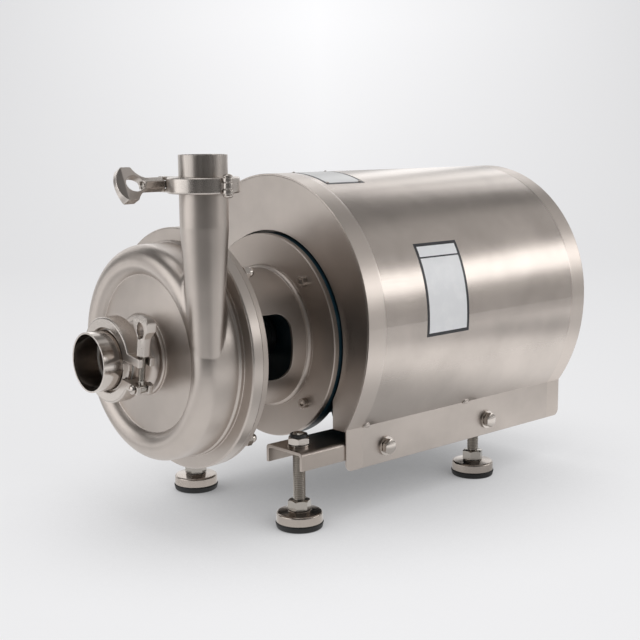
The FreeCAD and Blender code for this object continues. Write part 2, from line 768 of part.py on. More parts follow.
# Semi-open impeller with backward curved vanes, its nut, and the shaft that carries both
def make_rotating_parts():
    plate_back = S.volute_setback - S.cover_depth - S.impeller_gap
    plate_front = plate_back - S.impeller_plate
    eye_front = -S.crease_depth + S.casing_wall + S.impeller_gap
    vane_height = plate_front - eye_front
    body = new_body("impeller")
    place(body, volute_x, 0.0, shaft_z)
    section = new_sketch(body, "XZ_Plane")
    draw_loop(section, [
        (plate_front - vane_height * 0.75, S.impeller_bore),
        (plate_front - vane_height * 0.75, S.impeller_bore + 3.0),
        (plate_front, S.impeller_hub + 6.0),
        (plate_front, S.impeller_radius),
        (plate_back, S.impeller_radius),
        (plate_back, S.impeller_bore),
    ])
    revolve(body, section)
    vane = new_sketch(body, "YZ_Plane", (0.0, 0.0, plate_front + 0.5))
    start = S.impeller_hub
    thick = S.vane_thickness
    tip_u = S.impeller_radius * math.cos(math.radians(95))
    tip_v = S.impeller_radius * math.sin(math.radians(95))
    curve = S.impeller_radius * 0.714
    draw_loop(vane, [
        (start, 0.0),
        Bend(tip_u, tip_v, curve, False),
        (tip_u - thick * 0.4, tip_v - thick * 0.916),
        Bend(start - thick * 0.878, thick * 0.479, curve - thick, True),
    ])
    blade = pad(body, vane, vane_height + 0.5, reverse=True)
    polar(body, [blade], "X_Axis", S.vane_count)
    node(body, "impeller")

    nose = plate_front - vane_height * 0.75 - 0.05
    rim = S.impeller_bore + 1.5
    dome = S.impeller_bore + 3.0
    node(turned("impeller_nut", [
        (nose - 6.0 + root(dome * dome - rim * rim) - dome, 0.0),
        Bend(nose - 6.0, rim, dome, True),
        (nose, S.impeller_bore + 2.5),
        (nose, S.impeller_bore - 1.95),
        (nose - 8.2, S.impeller_bore - 1.95),
        (nose - 8.2, 0.0),
    ], volute_x), "impeller_nut")

    step = plate_back + 0.05
    sleeve_start = seam_x - volute_x + S.sleeve_setback
    sleeve_end = S.flange_face_x - volute_x - S.sleeve_end_gap
    motor_end = S.flange_face_x - volute_x - S.motor_shaft_length - 0.3
    node(turned("pump_shaft", [
        (nose - 8.0, 0.0),
        (nose - 8.0, S.impeller_bore - 2.0),
        (nose, S.impeller_bore - 2.0),
        (nose, S.impeller_bore - S.running_clearance / 2),
        (step, S.impeller_bore - S.running_clearance / 2),
        (step, S.pump_shaft_radius),
        (sleeve_start, S.pump_shaft_radius),
        (sleeve_start + 3.0, S.coupling_radius),
        (sleeve_end, S.coupling_radius),
        (sleeve_end, S.motor_shaft_radius + S.running_clearance),
        (motor_end, S.motor_shaft_radius + S.running_clearance),
        (motor_end, 0.0),
    ], volute_x), "pump_shaft")

    seat_front = -S.cover_depth + S.cover_wall
    seat_back = seat_front + S.seal_seat_length
    face_back = seat_back + S.seal_face_length
    bellows_back = face_back + S.seal_bellows_length
    shaft_fit = S.pump_shaft_radius + S.running_clearance
    node(turned("seal_stationary_ring", [
        (seat_front, shaft_fit + 0.6),
        (seat_front, S.coupling_radius + 0.95),
        (seat_back, S.coupling_radius + 0.95),
        (seat_back, shaft_fit + 0.6),
    ], seam_x), "seal_stationary_ring")
    node(turned("seal_rotating_ring", [
        (seat_back + 0.3, shaft_fit),
        (seat_back + 0.3, S.coupling_radius - 2.0),
        (seat_back + 2.3, S.coupling_radius - 2.0),
        (seat_back + 2.3, S.coupling_radius - 0.5),
        (face_back, S.coupling_radius - 0.5),
        (face_back, shaft_fit),
    ], seam_x), "seal_rotating_ring")
    bellows = [(face_back + 0.05, shaft_fit)]
    fold = (S.seal_bellows_length - 0.1) / 8
    for i in range(9):
        radius = S.coupling_radius - (1.0 if i % 2 else 3.5)
        bellows.append((face_back + 0.05 + fold * i, radius))
    bellows.append((bellows_back - 0.05, shaft_fit))
    node(turned("seal_bellows", bellows, seam_x), "seal_bellows")
    node(turned("seal_drive_collar", [
        (bellows_back, shaft_fit),
        (bellows_back, S.coupling_radius - 1.5),
        (bellows_back + 1.5, S.coupling_radius),
        (bellows_back + 8.0, S.coupling_radius),
        (bellows_back + 8.0, shaft_fit),
    ], seam_x), "seal_drive_collar")
    slinger = bellows_back + 8.5
    node(turned("shaft_slinger", [
        (slinger, shaft_fit),
        (slinger, S.coupling_radius - 3.0),
        (slinger + 2.0, S.slinger_radius),
        (slinger + 3.5, S.slinger_radius),
        (slinger + 3.5, shaft_fit),
    ], seam_x), "shaft_slinger")


# Tri-clamp joint along its own Z axis: stub, gasket, two clamp halves, hinge pins,
# swing bolt and wing nut. It is made upright and then turned onto its pipe.
class ClampJoint:
    def __init__(self, name, tube, wall, rim, outer, width, stub, bolt_offset,
                 nut_length, wing_half, place_at, turn, wing_turn):
        self.name = name
        self.tube = tube
        self.bore = tube - wall
        self.rim = rim
        self.outer = outer
        self.width = width
        self.stub = stub
        self.nut_length = nut_length
        self.wing_half = wing_half
        self.place_at = place_at
        self.turn = turn
        self.wing_turn = Rot(X_DIR, wing_turn)
        self.pin_y = outer + 3.0
        self.bolt_y = -(outer + bolt_offset)
        self.ear_start = S.ear_gap / 2
        self.ear_top = S.ear_gap / 2 + S.ear_thickness
        self.pivot_u = -(S.ear_gap / 2 + S.ear_thickness / 2)

    def seat(self, thing):
        """Turn and move a finished piece from the joint's own frame onto the pump."""
        return place(thing, *self.place_at, self.turn)

    def ring_section(self):
        """Half section of a clamp half as (radius, height) about the pipe."""
        groove = self.rim + S.clamp_clearance
        mouth = self.tube + S.lip_clearance
        flat = half_gasket + S.rim_thickness + S.clamp_clearance
        lip = flat + (groove - mouth) * S.cone_slope
        half = self.width / 2
        return [
            (mouth, -half),
            (self.outer - 1.0, -half),
            (self.outer, -half + 1.0),
            (self.outer, half - 1.0),
            (self.outer - 1.0, half),
            (mouth, half),
            (mouth, lip),
            (groove, flat),
            (groove, -flat),
            (mouth, -lip),
        ]

    def side_box(self, tag, low, high, y_low, y_high, height):
        """A box on one side of the split, u across the split and z along the pipe."""
        label = "%s_%s" % (self.name, tag)
        return box(label, high - low, y_high - y_low, height, low, y_low, -height / 2)

    def make_half(self, tag, side):
        """One clamp half; side is +1 for the half that swings and -1 for the fixed one."""
        label = "%s_clamp_%s" % (self.name, tag)
        body = new_body(label + "_ring")
        sketch = new_sketch(body, "XZ_Plane")
        draw_loop(sketch, self.ring_section())
        revolve(body, sketch, "V_Axis")
        reach = self.outer + 12.0
        split = S.moving_clearance / 2
        if side > 0:
            keep = self.side_box(tag + "_keep", split, reach, -reach, reach, self.width * 2)
            gap_top = -self.rim * 0.6
            gap = self.side_box(tag + "_gap", split - 1.0, self.ear_start, -reach, gap_top, self.width * 2)
            ear_low, ear_high = self.ear_start, self.ear_top
        else:
            keep = self.side_box(tag + "_keep", -reach, -split, -reach, reach, self.width * 2)
            gap = self.side_box(tag + "_gap", -self.ear_start, -split + 1.0, -reach, -self.rim * 0.6,
                                self.width * 2)
            ear_low, ear_high = -self.ear_top, -self.ear_start
        half = cut(label + "_half", common(label + "_cut", [body, keep]), gap)
        tongue = S.tongue_width
        clear = S.moving_clearance
        around = S.knuckle_radius + clear
        pin_y = self.pin_y
        knuckle_length = self.width
        if side > 0:
            lower_start = -(self.width + tongue / 2 + clear)
            lower = cylinder(label + "_a", around, self.width, 0.0, pin_y, lower_start)
            upper = cylinder(label + "_b", around, self.width, 0.0, pin_y, tongue / 2 + clear)
            reliefs = [lower, upper]
            knuckles = [cylinder(label + "_k", S.knuckle_radius, tongue, 0.0, pin_y, -tongue / 2)]
        else:
            slot = tongue + clear * 2
            reliefs = [cylinder(label + "_a", around, slot, 0.0, pin_y, -slot / 2)]
            length = (knuckle_length - slot) / 2
            knuckles = [
                cylinder(label + "_k1", S.knuckle_radius, length, 0.0, pin_y, -knuckle_length / 2),
                cylinder(label + "_k2", S.knuckle_radius, length, 0.0, pin_y, slot / 2),
            ]
        for i, relief in enumerate(reliefs):
            half = cut("%s_relieved_%d" % (label, i), half, relief)
        ear_out = self.bolt_y - S.ear_reach
        ear = self.side_box(tag + "_ear", ear_low, ear_high, ear_out, -(self.rim + 2.2), self.width)
        whole = fuse(label + "_whole", [half, ear] + knuckles)
        slot_inner = self.bolt_y + S.knuckle_radius + clear
        bolt_slot = self.side_box(tag + "_slot", -reach, reach, ear_out - 5.0, slot_inner, S.clamp_slot)
        pin_fit = S.clamp_pin_radius + (S.running_clearance if side > 0 else 0.01)
        holes = [
            bolt_slot,
            cylinder(label + "_pin_hole", pin_fit, self.width * 2, 0.0, pin_y, -self.width),
        ]
        if side < 0:
            pivot = cylinder(label + "_pivot_hole", S.clamp_pin_radius + 0.01, self.width * 2,
                             self.pivot_u, self.bolt_y, -self.width)
            holes.append(pivot)
        result = whole
        for i, hole in enumerate(holes):
            result = cut("%s_bored_%d" % (label, i), result, hole)
        self.seat(result)
        node(result, label)

    def make_pins(self):
        """Hinge pin and bolt pivot pin, with rounded heads."""
        label = self.name + "_clamp_pins"
        pieces = []
        for tag, u, y in (("hinge", 0.0, self.pin_y), ("pivot", self.pivot_u, self.bolt_y)):
            rod = cylinder("%s_%s" % (label, tag), S.clamp_pin_radius, self.width + 2.0, u, y,
                           -(self.width / 2 + 1.0))
            low = cylinder("%s_%s_low" % (label, tag), S.clamp_pin_radius * 1.6, 1.3, u, y,
                           -(self.width / 2 + 1.35))
            high = cylinder("%s_%s_high" % (label, tag), S.clamp_pin_radius * 1.6, 1.3, u, y,
                            self.width / 2 + 0.05)
            pieces.append(fuse("%s_%s_pin" % (label, tag), [rod, low, high]))
        pins = group(label, pieces)
        self.seat(pins)
        node(pins, label)

    def make_bolt(self):
        """Swing bolt: an eye on the pivot pin and a threaded shank."""
        label = self.name + "_swing_bolt"
        eye_width = S.clamp_slot - S.moving_clearance * 2
        eye = cylinder(label + "_eye", S.knuckle_radius, eye_width, self.pivot_u, self.bolt_y, -eye_width / 2)
        length = self.ear_top - self.pivot_u + S.nut_gap + self.nut_length * 0.42
        shank = cylinder(label + "_shank", S.clamp_bolt_radius, length, self.pivot_u, self.bolt_y, 0.0, X_DIR)
        bore = cylinder(label + "_bore", S.clamp_pin_radius + S.running_clearance, self.width * 2,
                        self.pivot_u, self.bolt_y, -self.width)
        bolt = cut(label, fuse(label + "_whole", [eye, shank]), bore)
        self.seat(bolt)
        node(bolt, label)

    def wing_solid(self, tag, plane, corners, thickness):
        """A plate about the bolt's axis, turned with the wing."""
        body = new_body("%s_wing_%s" % (self.name, tag))
        sketch = new_sketch(body, plane)
        draw_loop(sketch, corners)
        pad(body, sketch, thickness, midplane=True)
        return place(body, 0.0, self.bolt_y, 0.0, self.wing_turn)

    def make_nut(self):
        """Wing nut: a hexagon sleeve that flares into a looped grip with a bevelled end."""
        label = self.name + "_wing_nut"
        start = self.ear_top + S.nut_gap
        length = self.nut_length
        sleeve_length = length * 0.45
        sleeve = hexagon(label + "_sleeve", S.nut_flats, sleeve_length, start, self.bolt_y, 0.0, X_DIR)
        half = self.wing_half
        neck = S.nut_flats * 0.42
        neck_u = start + length * 0.3
        facet_u = start + length * 0.64
        corner_u = start + length * 0.86
        crown = start + length - corner_u
        crown_radius = (half * half + crown * crown) / (crown * 2)
        flare = length * 0.42
        face = self.wing_solid("face", "XZ_Plane", [
            (neck_u, -neck),
            Bend(facet_u, -half, flare, True),
            (corner_u, -half),
            Bend(corner_u, half, crown_radius, False),
            (facet_u, half),
            Bend(neck_u, neck, flare, True),
        ], S.nut_wing_thickness)
        hole_low = start + length * 0.46
        hole_high = start + length * 0.78
        loop = self.wing_solid("loop", "XZ_Plane", [
            Bend(hole_low, -half * 0.24, half * 0.3, False),
            Bend(hole_high, -half * 0.32, length * 0.24, False),
            Bend(hole_high, half * 0.32, half * 0.42, False),
            Bend(hole_low, half * 0.24, length * 0.24, False),
        ], S.nut_wing_thickness * 3)
        thick = S.nut_wing_thickness / 2
        side = self.wing_solid("side", "XY_Plane", [
            (start - 1.0, -thick * 0.8),
            (start + length * 0.5, -thick * 0.8),
            (corner_u, -thick),
            (start + length, -thick * 0.45),
            Bend(start + length, thick * 0.45, thick * 3, False),
            (corner_u, thick),
            (start + length * 0.5, thick * 0.8),
            (start - 1.0, thick * 0.8),
        ], half * 4)
        grip = common(label + "_grip", [face, side])
        thread = cylinder(label + "_thread", S.clamp_bolt_radius + S.running_clearance, length * 0.52,
                          start - 1.0, self.bolt_y, 0.0, X_DIR)
        solid = cut(label + "_open", fuse(label + "_whole", [sleeve, grip]), loop)
        nut = cut(label + "_tapped", solid, thread)
        self.seat(nut)
        node(nut, label)

    def make_pipe_parts(self):
        """The ferruled stub beyond the joint and the gasket between the ferrules."""
        rim_cone = (self.rim - self.tube) * S.cone_slope
        stub = new_body(self.name + "_ferrule")
        sketch = new_sketch(stub, "XZ_Plane")
        base = half_gasket
        draw_loop(sketch, [
            (self.bore, base),
            (self.rim, base),
            (self.rim, base + S.rim_thickness),
            (self.tube, base + S.rim_thickness + rim_cone),
            (self.tube, self.stub),
            (self.bore, self.stub),
        ])
        revolve(stub, sketch, "V_Axis")
        self.seat(stub)
        node(stub, self.name + "_ferrule")
        gasket = new_body(self.name + "_gasket")
        sketch = new_sketch(gasket, "XZ_Plane")
        draw_loop(sketch, [
            (self.bore, -half_gasket),
            (self.rim - 0.5, -half_gasket),
            (self.rim - 0.5, half_gasket),
            (self.bore, half_gasket),
        ])
        revolve(gasket, sketch, "V_Axis")
        self.seat(gasket)
        node(gasket, self.name + "_gasket")

    def make(self):
        self.make_pipe_parts()
        self.make_half("fixed_half", -1)
        self.make_half("swing_half", 1)
        self.make_pins()
        self.make_bolt()
        self.make_nut()


# Motor: flange shield, finned frame with feet, rear shield, stator, rotor, bearings, fan,
# fan cover and terminal box
def make_motor():
    flange = S.motor_flange_thickness
    start = S.frame_start
    end = S.frame_start + S.frame_length
    bore = S.frame_bore
    outer = bore + S.frame_wall
    shaft = S.motor_shaft_radius
    seat_front = flange + 4.0
    seat_back = end + 2.0
    shield = turned("motor_flange_shield", [
        (-S.spigot_height, shaft + 3.0),
        (-S.spigot_height, S.spigot_radius),
        (0.0, S.spigot_radius),
        (0.0, S.motor_flange_radius),
        (flange, S.motor_flange_radius),
        (flange, outer + 2.0),
        (start - 0.05, outer),
        (start - 0.05, S.bearing_outer + 6.0),
        (seat_front + S.bearing_width, S.bearing_outer + 6.0),
        (seat_front + S.bearing_width, S.bearing_outer + 0.02),
        (seat_front, S.bearing_outer + 0.02),
        (seat_front, shaft + 3.0),
    ], S.flange_face_x)
    screw_holes = new_sketch(shield, "YZ_Plane")
    offset = S.flange_bolt_circle / math.sqrt(2)
    draw_circle(screw_holes, offset, offset, S.adapter_screw_radius + 0.01)
    hole = pocket(shield, screw_holes, flange * 2)
    polar(shield, [hole], "X_Axis", S.casing_bolt_count)
    node(shield, "motor_flange_shield")

    frame = new_body("motor_frame")
    place(frame, S.flange_face_x, 0.0, shaft_z)
    section = new_sketch(frame, "XZ_Plane")
    draw_loop(section, [(start, bore), (start, outer), (end, outer), (end, bore)])
    revolve(frame, section)
    fin = new_sketch(frame, "YZ_Plane", (0.0, 0.0, start + 6.0))
    half = S.fin_width / 2
    draw_loop(fin, [
        (-half, outer - 1.0),
        (half, outer - 1.0),
        (half * 0.6, outer + S.fin_height),
        (-half * 0.6, outer + S.fin_height),
    ])
    rib = pad(frame, fin, S.frame_length - 12.0)
    polar(frame, [rib], "X_Axis", S.fin_count)
    foot = new_sketch(frame, "YZ_Plane", (0.0, 0.0, start + 8.0))
    floor = -S.motor_centre_height
    pad_top = floor + S.foot_pad_thickness
    web = -S.foot_hole_half_track + 10.0
    draw_loop(foot, [
        (-S.foot_half_width, floor),
        (web + 10.0, floor),
        (web + 16.0, floor + 16.0),
        (-outer * 0.28, -outer * 0.93),
        (-outer * 0.67, -outer * 0.67),
        (web, -outer * 0.76),
        (web, pad_top),
        (-S.foot_half_width, pad_top),
    ])
    left_foot = pad(frame, foot, S.frame_length - 8.0)
    mirror = frame.newObject("PartDesign::Mirrored", "motor_frame_mirror")
    mirror.Originals = [left_foot]
    plane = [f for f in frame.Origin.OriginFeatures if f.Role == "XZ_Plane"][0]
    mirror.MirrorPlane = (plane, [""])
    frame.Tip = mirror
    holes = new_sketch(frame, "XY_Plane", (0.0, 0.0, floor))
    for u in (S.foot_hole_first, S.foot_hole_first + S.foot_hole_pitch):
        for v in (-S.foot_hole_half_track, S.foot_hole_half_track):
            draw_circle(holes, u, v, S.cover_bolt_radius + 0.5)
    pocket(frame, holes, S.foot_pad_thickness * 6)
    node(frame, "motor_frame")

    node(turned("motor_rear_shield", [
        (end + 0.05, S.bearing_outer + 6.0),
        (end + 0.05, outer),
        (end + 9.0, outer - 3.0),
        (end + S.rear_shield_depth - 4.0, S.bearing_outer + 10.0),
        (end + S.rear_shield_depth, S.bearing_outer + 4.0),
        (end + S.rear_shield_depth, shaft + 1.0),
        (seat_back + S.bearing_width, shaft + 1.0),
        (seat_back + S.bearing_width, S.bearing_outer + 0.02),
        (seat_back, S.bearing_outer + 0.02),
        (seat_back, S.bearing_outer + 6.0),
    ], S.flange_face_x), "motor_rear_shield")
    core_start = start + S.core_front_gap
    core_end = end - S.core_rear_gap
    node(turned("motor_stator", [
        (core_start - S.winding_overhang, S.stator_bore + 5.0),
        (core_start - S.winding_overhang, bore - 8.0),
        (core_start, bore - 5.0),
        (core_start, bore - 0.02),
        (core_end, bore - 0.02),
        (core_end, bore - 5.0),
        (core_end + S.winding_overhang, bore - 8.0),
        (core_end + S.winding_overhang, S.stator_bore + 5.0),
        (core_end, S.stator_bore),
        (core_start, S.stator_bore),
    ], S.flange_face_x), "motor_stator")
    rotor = S.stator_bore - S.air_gap
    shaft_front = -S.motor_shaft_length
    fan_start = end + S.rear_shield_depth + S.fan_gap
    node(turned("motor_rotor", [
        (shaft_front, 0.0),
        (shaft_front, shaft - 1.0),
        (shaft_front + 1.0, shaft),
        (seat_front + S.bearing_width + 0.1, shaft),
        (seat_front + S.bearing_width + 0.1, shaft + 3.0),
        (core_start, shaft + 3.0),
        (core_start, rotor),
        (core_end, rotor),
        (core_end, shaft + 3.0),
        (seat_back - 0.1, shaft + 3.0),
        (seat_back - 0.1, shaft),
        (seat_back + S.bearing_width + 1.0, shaft),
        (seat_back + S.bearing_width + 1.0, shaft - 2.0),
        (fan_start + S.fan_width, shaft - 2.0),
        (fan_start + S.fan_width, 0.0),
    ], S.flange_face_x), "motor_rotor")
    bearings = []
    for name, seat in (("front_bearing", seat_front), ("rear_bearing", seat_back)):
        bearings.append(turned(name, [
            (seat, shaft + S.running_clearance),
            (seat, S.bearing_outer),
            (seat + S.bearing_width, S.bearing_outer),
            (seat + S.bearing_width, shaft + S.running_clearance),
        ], S.flange_face_x))
    node(group("motor_bearings", bearings), "motor_bearings")

    fan = new_body("motor_fan")
    place(fan, S.flange_face_x, 0.0, shaft_z)
    section = new_sketch(fan, "XZ_Plane")
    draw_loop(section, [
        (fan_start, shaft - 1.97),
        (fan_start, shaft + 6.0),
        (fan_start + 4.0, S.fan_radius),
        (fan_start + 7.0, S.fan_radius),
        (fan_start + 8.0, shaft + 6.0),
        (fan_start + S.fan_width - 4.0, shaft + 4.0),
        (fan_start + S.fan_width - 4.0, shaft - 1.97),
    ])
    revolve(fan, section)
    blade = new_sketch(fan, "YZ_Plane", (0.0, 0.0, fan_start + 5.0))
    draw_loop(blade, [
        (-1.2, shaft + 5.0),
        (1.2, shaft + 5.0),
        (1.2, S.fan_radius),
        (-1.2, S.fan_radius),
    ])
    fin = pad(fan, blade, S.fan_width)
    polar(fan, [fin], "X_Axis", 8.0)
    node(fan, "motor_fan")

    cover_end = end + S.fan_cover_length
    hood = outer + S.fin_height * 0.6
    cover = new_body("fan_cover")
    place(cover, S.flange_face_x, 0.0, shaft_z)
    section = new_sketch(cover, "XZ_Plane")
    draw_loop(section, [
        (end + 0.3, outer + 0.3),
        (end + 0.3, outer + 1.8),
        (end + 8.0, hood),
        (cover_end - 12.0, hood),
        Bend(cover_end, hood - 12.0, 12.0, True),
        (cover_end, shaft + 2.0),
        (cover_end - 1.5, shaft + 2.0),
        (cover_end - 1.5, hood - 12.0),
        Bend(cover_end - 12.0, hood - 1.5, 10.5, False),
        (end + 8.5, hood - 1.5),
    ])
    revolve(cover, section)
    slot = new_sketch(cover, "YZ_Plane", (0.0, 0.0, cover_end))
    draw_loop(slot, [
        (-2.5, shaft + 8.0),
        (2.5, shaft + 8.0),
        (6.0, hood - 18.0),
        (-6.0, hood - 18.0),
    ])
    vent = pocket(cover, slot, 8.0)
    polar(cover, [vent], "X_Axis", 16.0)
    node(cover, "fan_cover")

    box_x = S.flange_face_x + start + S.box_setback
    box_z = shaft_z + outer + S.fin_height
    shell = new_body("terminal_box")
    place(shell, box_x, 0.0, box_z)
    outline = new_sketch(shell, "XY_Plane")
    half = S.box_width / 2
    draw_loop(outline, rounded_rectangle(0.0, S.box_length, -half, half, 8.0))
    pad(shell, outline, S.box_height)
    node(shell, "terminal_box")


# Motor foot bolts through the feet and the rails
def make_motor_bolts():
    bolts = []
    for i in range(4):
        x = S.flange_face_x + S.foot_hole_first + S.foot_hole_pitch * (i % 2)
        y = S.foot_hole_half_track * (1 if i < 2 else -1)
        top = S.base_top + S.foot_pad_thickness + 0.05
        head = hexagon("foot_bolt_head_%d" % i, S.bolt_flats, S.bolt_head, x, y, top)
        length = S.foot_pad_thickness + S.rail_thickness + S.bolt_tail
        shank = cylinder("foot_bolt_shank_%d" % i, S.cover_bolt_radius, length, x, y, top - length + 1.0)
        nut_low = S.base_top - S.rail_thickness - S.bolt_nut - 0.05
        bolt_nut = hexagon("foot_bolt_nut_%d" % i, S.bolt_flats, S.bolt_nut, x, y, nut_low)
        bolts.append(fuse("foot_bolt_%d" % i, [head, shank, bolt_nut]))
    node(group("motor_foot_bolts", bolts), "motor_foot_bolts")


def arch_loop(inset, bottom, half_foot):
    """Outline of the cover seen along the shaft: arch, flanks and side flanges."""
    radius = S.cover_radius - inset
    flank = S.flank_radius - inset
    foot = half_foot
    return [
        (-foot, bottom),
        (-foot, S.side_fold),
        Bend(-radius, cover_centre_z, flank, True),
        Bend(0.0, cover_centre_z + radius, radius, True),
        Bend(radius, cover_centre_z, radius, True),
        Bend(foot, S.side_fold, flank, True),
        (foot, bottom),
    ]


def corner_loop(x, z, radius, side):
    """What is cut away to round a lower corner; side is -1 at the front and 1 at the rear."""
    return [
        (x + side, z - 1.0),
        (x - radius * side, z - 1.0),
        (x - radius * side, z),
        Bend(x, z + radius, radius, side < 0),
        (x + side, z + radius),
    ]


# Motor cover: a rolled sheet with side flanges, a horseshoe front plate and a vented rear plate
def make_cover():
    sheet_t = S.sheet_thickness
    foot = S.side_flange_half_width
    wrap = new_body("cover_wrap")
    place(wrap, 0.0, 0.0, 0.0)
    section = new_sketch(wrap, "YZ_Plane", (0.0, 0.0, cover_front_x))
    outside = arch_loop(0.0, S.side_flange_bottom, foot)
    inside = arch_loop(sheet_t, S.side_flange_bottom, foot - sheet_t)
    back = [
        (foot - sheet_t, S.side_flange_bottom),
        (foot - sheet_t, S.side_fold),
        Bend(*inside[4].point, inside[5].radius, False),
        Bend(*inside[3].point, inside[4].radius, False),
        Bend(*inside[2].point, inside[3].radius, False),
        Bend(*inside[1], inside[2].radius, False),
        (-foot + sheet_t, S.side_flange_bottom),
    ]
    draw_loop(section, outside + back)
    pad(wrap, section, cover_length)
    bolt_holes = new_sketch(wrap, "XZ_Plane")
    for x in (cover_front_x + S.cover_bolt_front, cover_front_x + S.cover_bolt_front + S.cover_bolt_pitch):
        draw_circle(bolt_holes, x, S.cover_bolt_z, S.cover_bolt_radius + 0.5)
    draw_loop(bolt_holes, corner_loop(cover_front_x, S.side_flange_bottom, S.flange_corner, -1))
    draw_loop(bolt_holes, corner_loop(cover_end_x, S.side_flange_bottom, S.flange_corner, 1))
    pocket(wrap, bolt_holes, foot * 3)
    node(wrap, "cover_wrap")

    inset = sheet_t + S.end_plate_gap
    plate_foot = foot - inset
    front = new_body("cover_front_plate")
    sketch = new_sketch(front, "YZ_Plane", (0.0, 0.0, cover_front_x))
    outline = arch_loop(inset, S.side_fold - 2.0, plate_foot)
    half = S.opening_half_width
    opening = S.front_opening
    spring = shaft_z - root(opening * opening - half * half)
    outline += [
        (half, S.side_fold - 2.0),
        (half, spring),
        Bend(opening, shaft_z, opening, False),
        Bend(0.0, shaft_z + opening, opening, False),
        Bend(-opening, shaft_z, opening, False),
        Bend(-half, spring, opening, False),
        (-half, S.side_fold - 2.0),
    ]
    draw_loop(sketch, outline)
    pad(front, sketch, sheet_t)
    node(front, "cover_front_plate")

    rear = new_body("cover_rear_plate")
    sketch = new_sketch(rear, "YZ_Plane", (0.0, 0.0, cover_end_x - sheet_t))
    draw_loop(sketch, arch_loop(inset, S.side_fold - 2.0, plate_foot))
    pad(rear, sketch, sheet_t)
    vents = new_sketch(rear, "YZ_Plane", (0.0, 0.0, cover_end_x))
    half_length = S.vent_length / 2
    half_width = S.vent_width / 2
    first = shaft_z - S.vent_pitch * (number(S.vent_count) - 1) / 2
    for i in range(int(number(S.vent_count))):
        z = first + S.vent_pitch * i
        draw_loop(vents, [
            Bend(-half_length, z - half_width, half_width, False),
            (half_length, z - half_width),
            Bend(half_length + half_width, z, half_width, False),
            Bend(half_length, z + half_width, half_width, False),
            (-half_length, z + half_width),
            Bend(-half_length - half_width, z, half_width, False),
        ])
    pocket(rear, vents, sheet_t * 6)
    node(rear, "cover_rear_plate")


# Cover bolts with washers outside and nuts inside the rails
def make_cover_fasteners():
    bolts = []
    washers = []
    for i in range(4):
        side = 1 if i < 2 else -1
        x = cover_front_x + S.cover_bolt_front + S.cover_bolt_pitch * (i % 2)
        z = S.cover_bolt_z
        outward = Y_DIR * side
        washer_y = (S.side_flange_half_width + 0.05) * side
        head_y = (S.side_flange_half_width + 0.05 + S.washer_thickness) * side
        washer = cylinder("cover_washer_%d" % i, S.cover_washer_radius, S.washer_thickness,
                          x, washer_y, z, outward)
        hole = cylinder("cover_washer_hole_%d" % i, S.cover_bolt_radius + 0.3, S.washer_thickness * 3,
                        x, washer_y - 2.0 * side, z, outward)
        washers.append(cut("cover_washer_cut_%d" % i, washer, hole))
        head = hexagon("cover_head_%d" % i, S.bolt_flats, S.bolt_head, x, head_y, z, outward)
        grip = S.washer_thickness + S.sheet_thickness + S.rail_thickness + S.bolt_tail
        shank = cylinder("cover_shank_%d" % i, S.cover_bolt_radius, grip, x, head_y + 1.0 * side, z, -outward)
        nut_y = (S.side_flange_half_width - S.sheet_thickness - S.rail_thickness - 0.1) * side
        inner_nut = hexagon("cover_nut_%d" % i, S.bolt_flats, S.bolt_nut, x, nut_y, z, -outward)
        bolts.append(fuse("cover_bolt_%d" % i, [head, shank, inner_nut]))
    node(group("cover_bolts", bolts), "cover_bolts")
    node(group("cover_washers", washers), "cover_washers")


# Base rails: folded channels, open below, one under each side of the motor
def make_rails():
    for name, side in (("base_rail_near", -1), ("base_rail_far", 1)):
        body = new_body(name if side > 0 else name + "_source")
        outer_y = S.side_flange_half_width - S.sheet_thickness - 0.05
        inner_y = outer_y - S.rail_width
        top = S.base_top
        low = S.base_top - S.rail_height
        wall = S.rail_thickness
        corner = S.rail_corner
        inner = S.rail_corner - S.rail_thickness + 0.5
        sketch = new_sketch(body, "YZ_Plane", (0.0, 0.0, S.rail_front_x))
        draw_loop(sketch, [
            (inner_y, low),
            (inner_y + wall, low),
            (inner_y + wall, top - wall - inner),
            Bend(inner_y + wall + inner, top - wall, inner, True),
            (outer_y - wall - inner, top - wall),
            Bend(outer_y - wall, top - wall - inner, inner, True),
            (outer_y - wall, low),
            (outer_y, low),
            (outer_y, top - corner),
            Bend(outer_y - corner, top, corner, False),
            (inner_y + corner, top),
            Bend(inner_y, top - corner, corner, False),
        ])
        pad(body, sketch, rail_length)
        holes = new_sketch(body, "XY_Plane", (0.0, 0.0, top))
        for x in (S.foot_front_x, foot_rear_x):
            draw_circle(holes, x, S.foot_half_track, S.stem_radius + 0.4)
        motor_x = S.flange_face_x + S.foot_hole_first
        for x in (motor_x, motor_x + S.foot_hole_pitch):
            draw_circle(holes, x, S.foot_hole_half_track, S.cover_bolt_radius + 0.5)
        pocket(body, holes, S.rail_thickness * 4)
        sides = new_sketch(body, "XZ_Plane", (0.0, 0.0, -outer_y))
        cover_x = cover_front_x + S.cover_bolt_front
        for x in (cover_x, cover_x + S.cover_bolt_pitch):
            draw_circle(sides, x, S.cover_bolt_z, S.cover_bolt_radius + 0.5)
        pocket(body, sides, S.rail_thickness * 4)
        if side < 0:
            flip = doc.addObject("Part::Mirroring", name)
            flip.Source = body
            flip.Normal = Y_DIR
            node(flip, name)
        else:
            node(body, name)


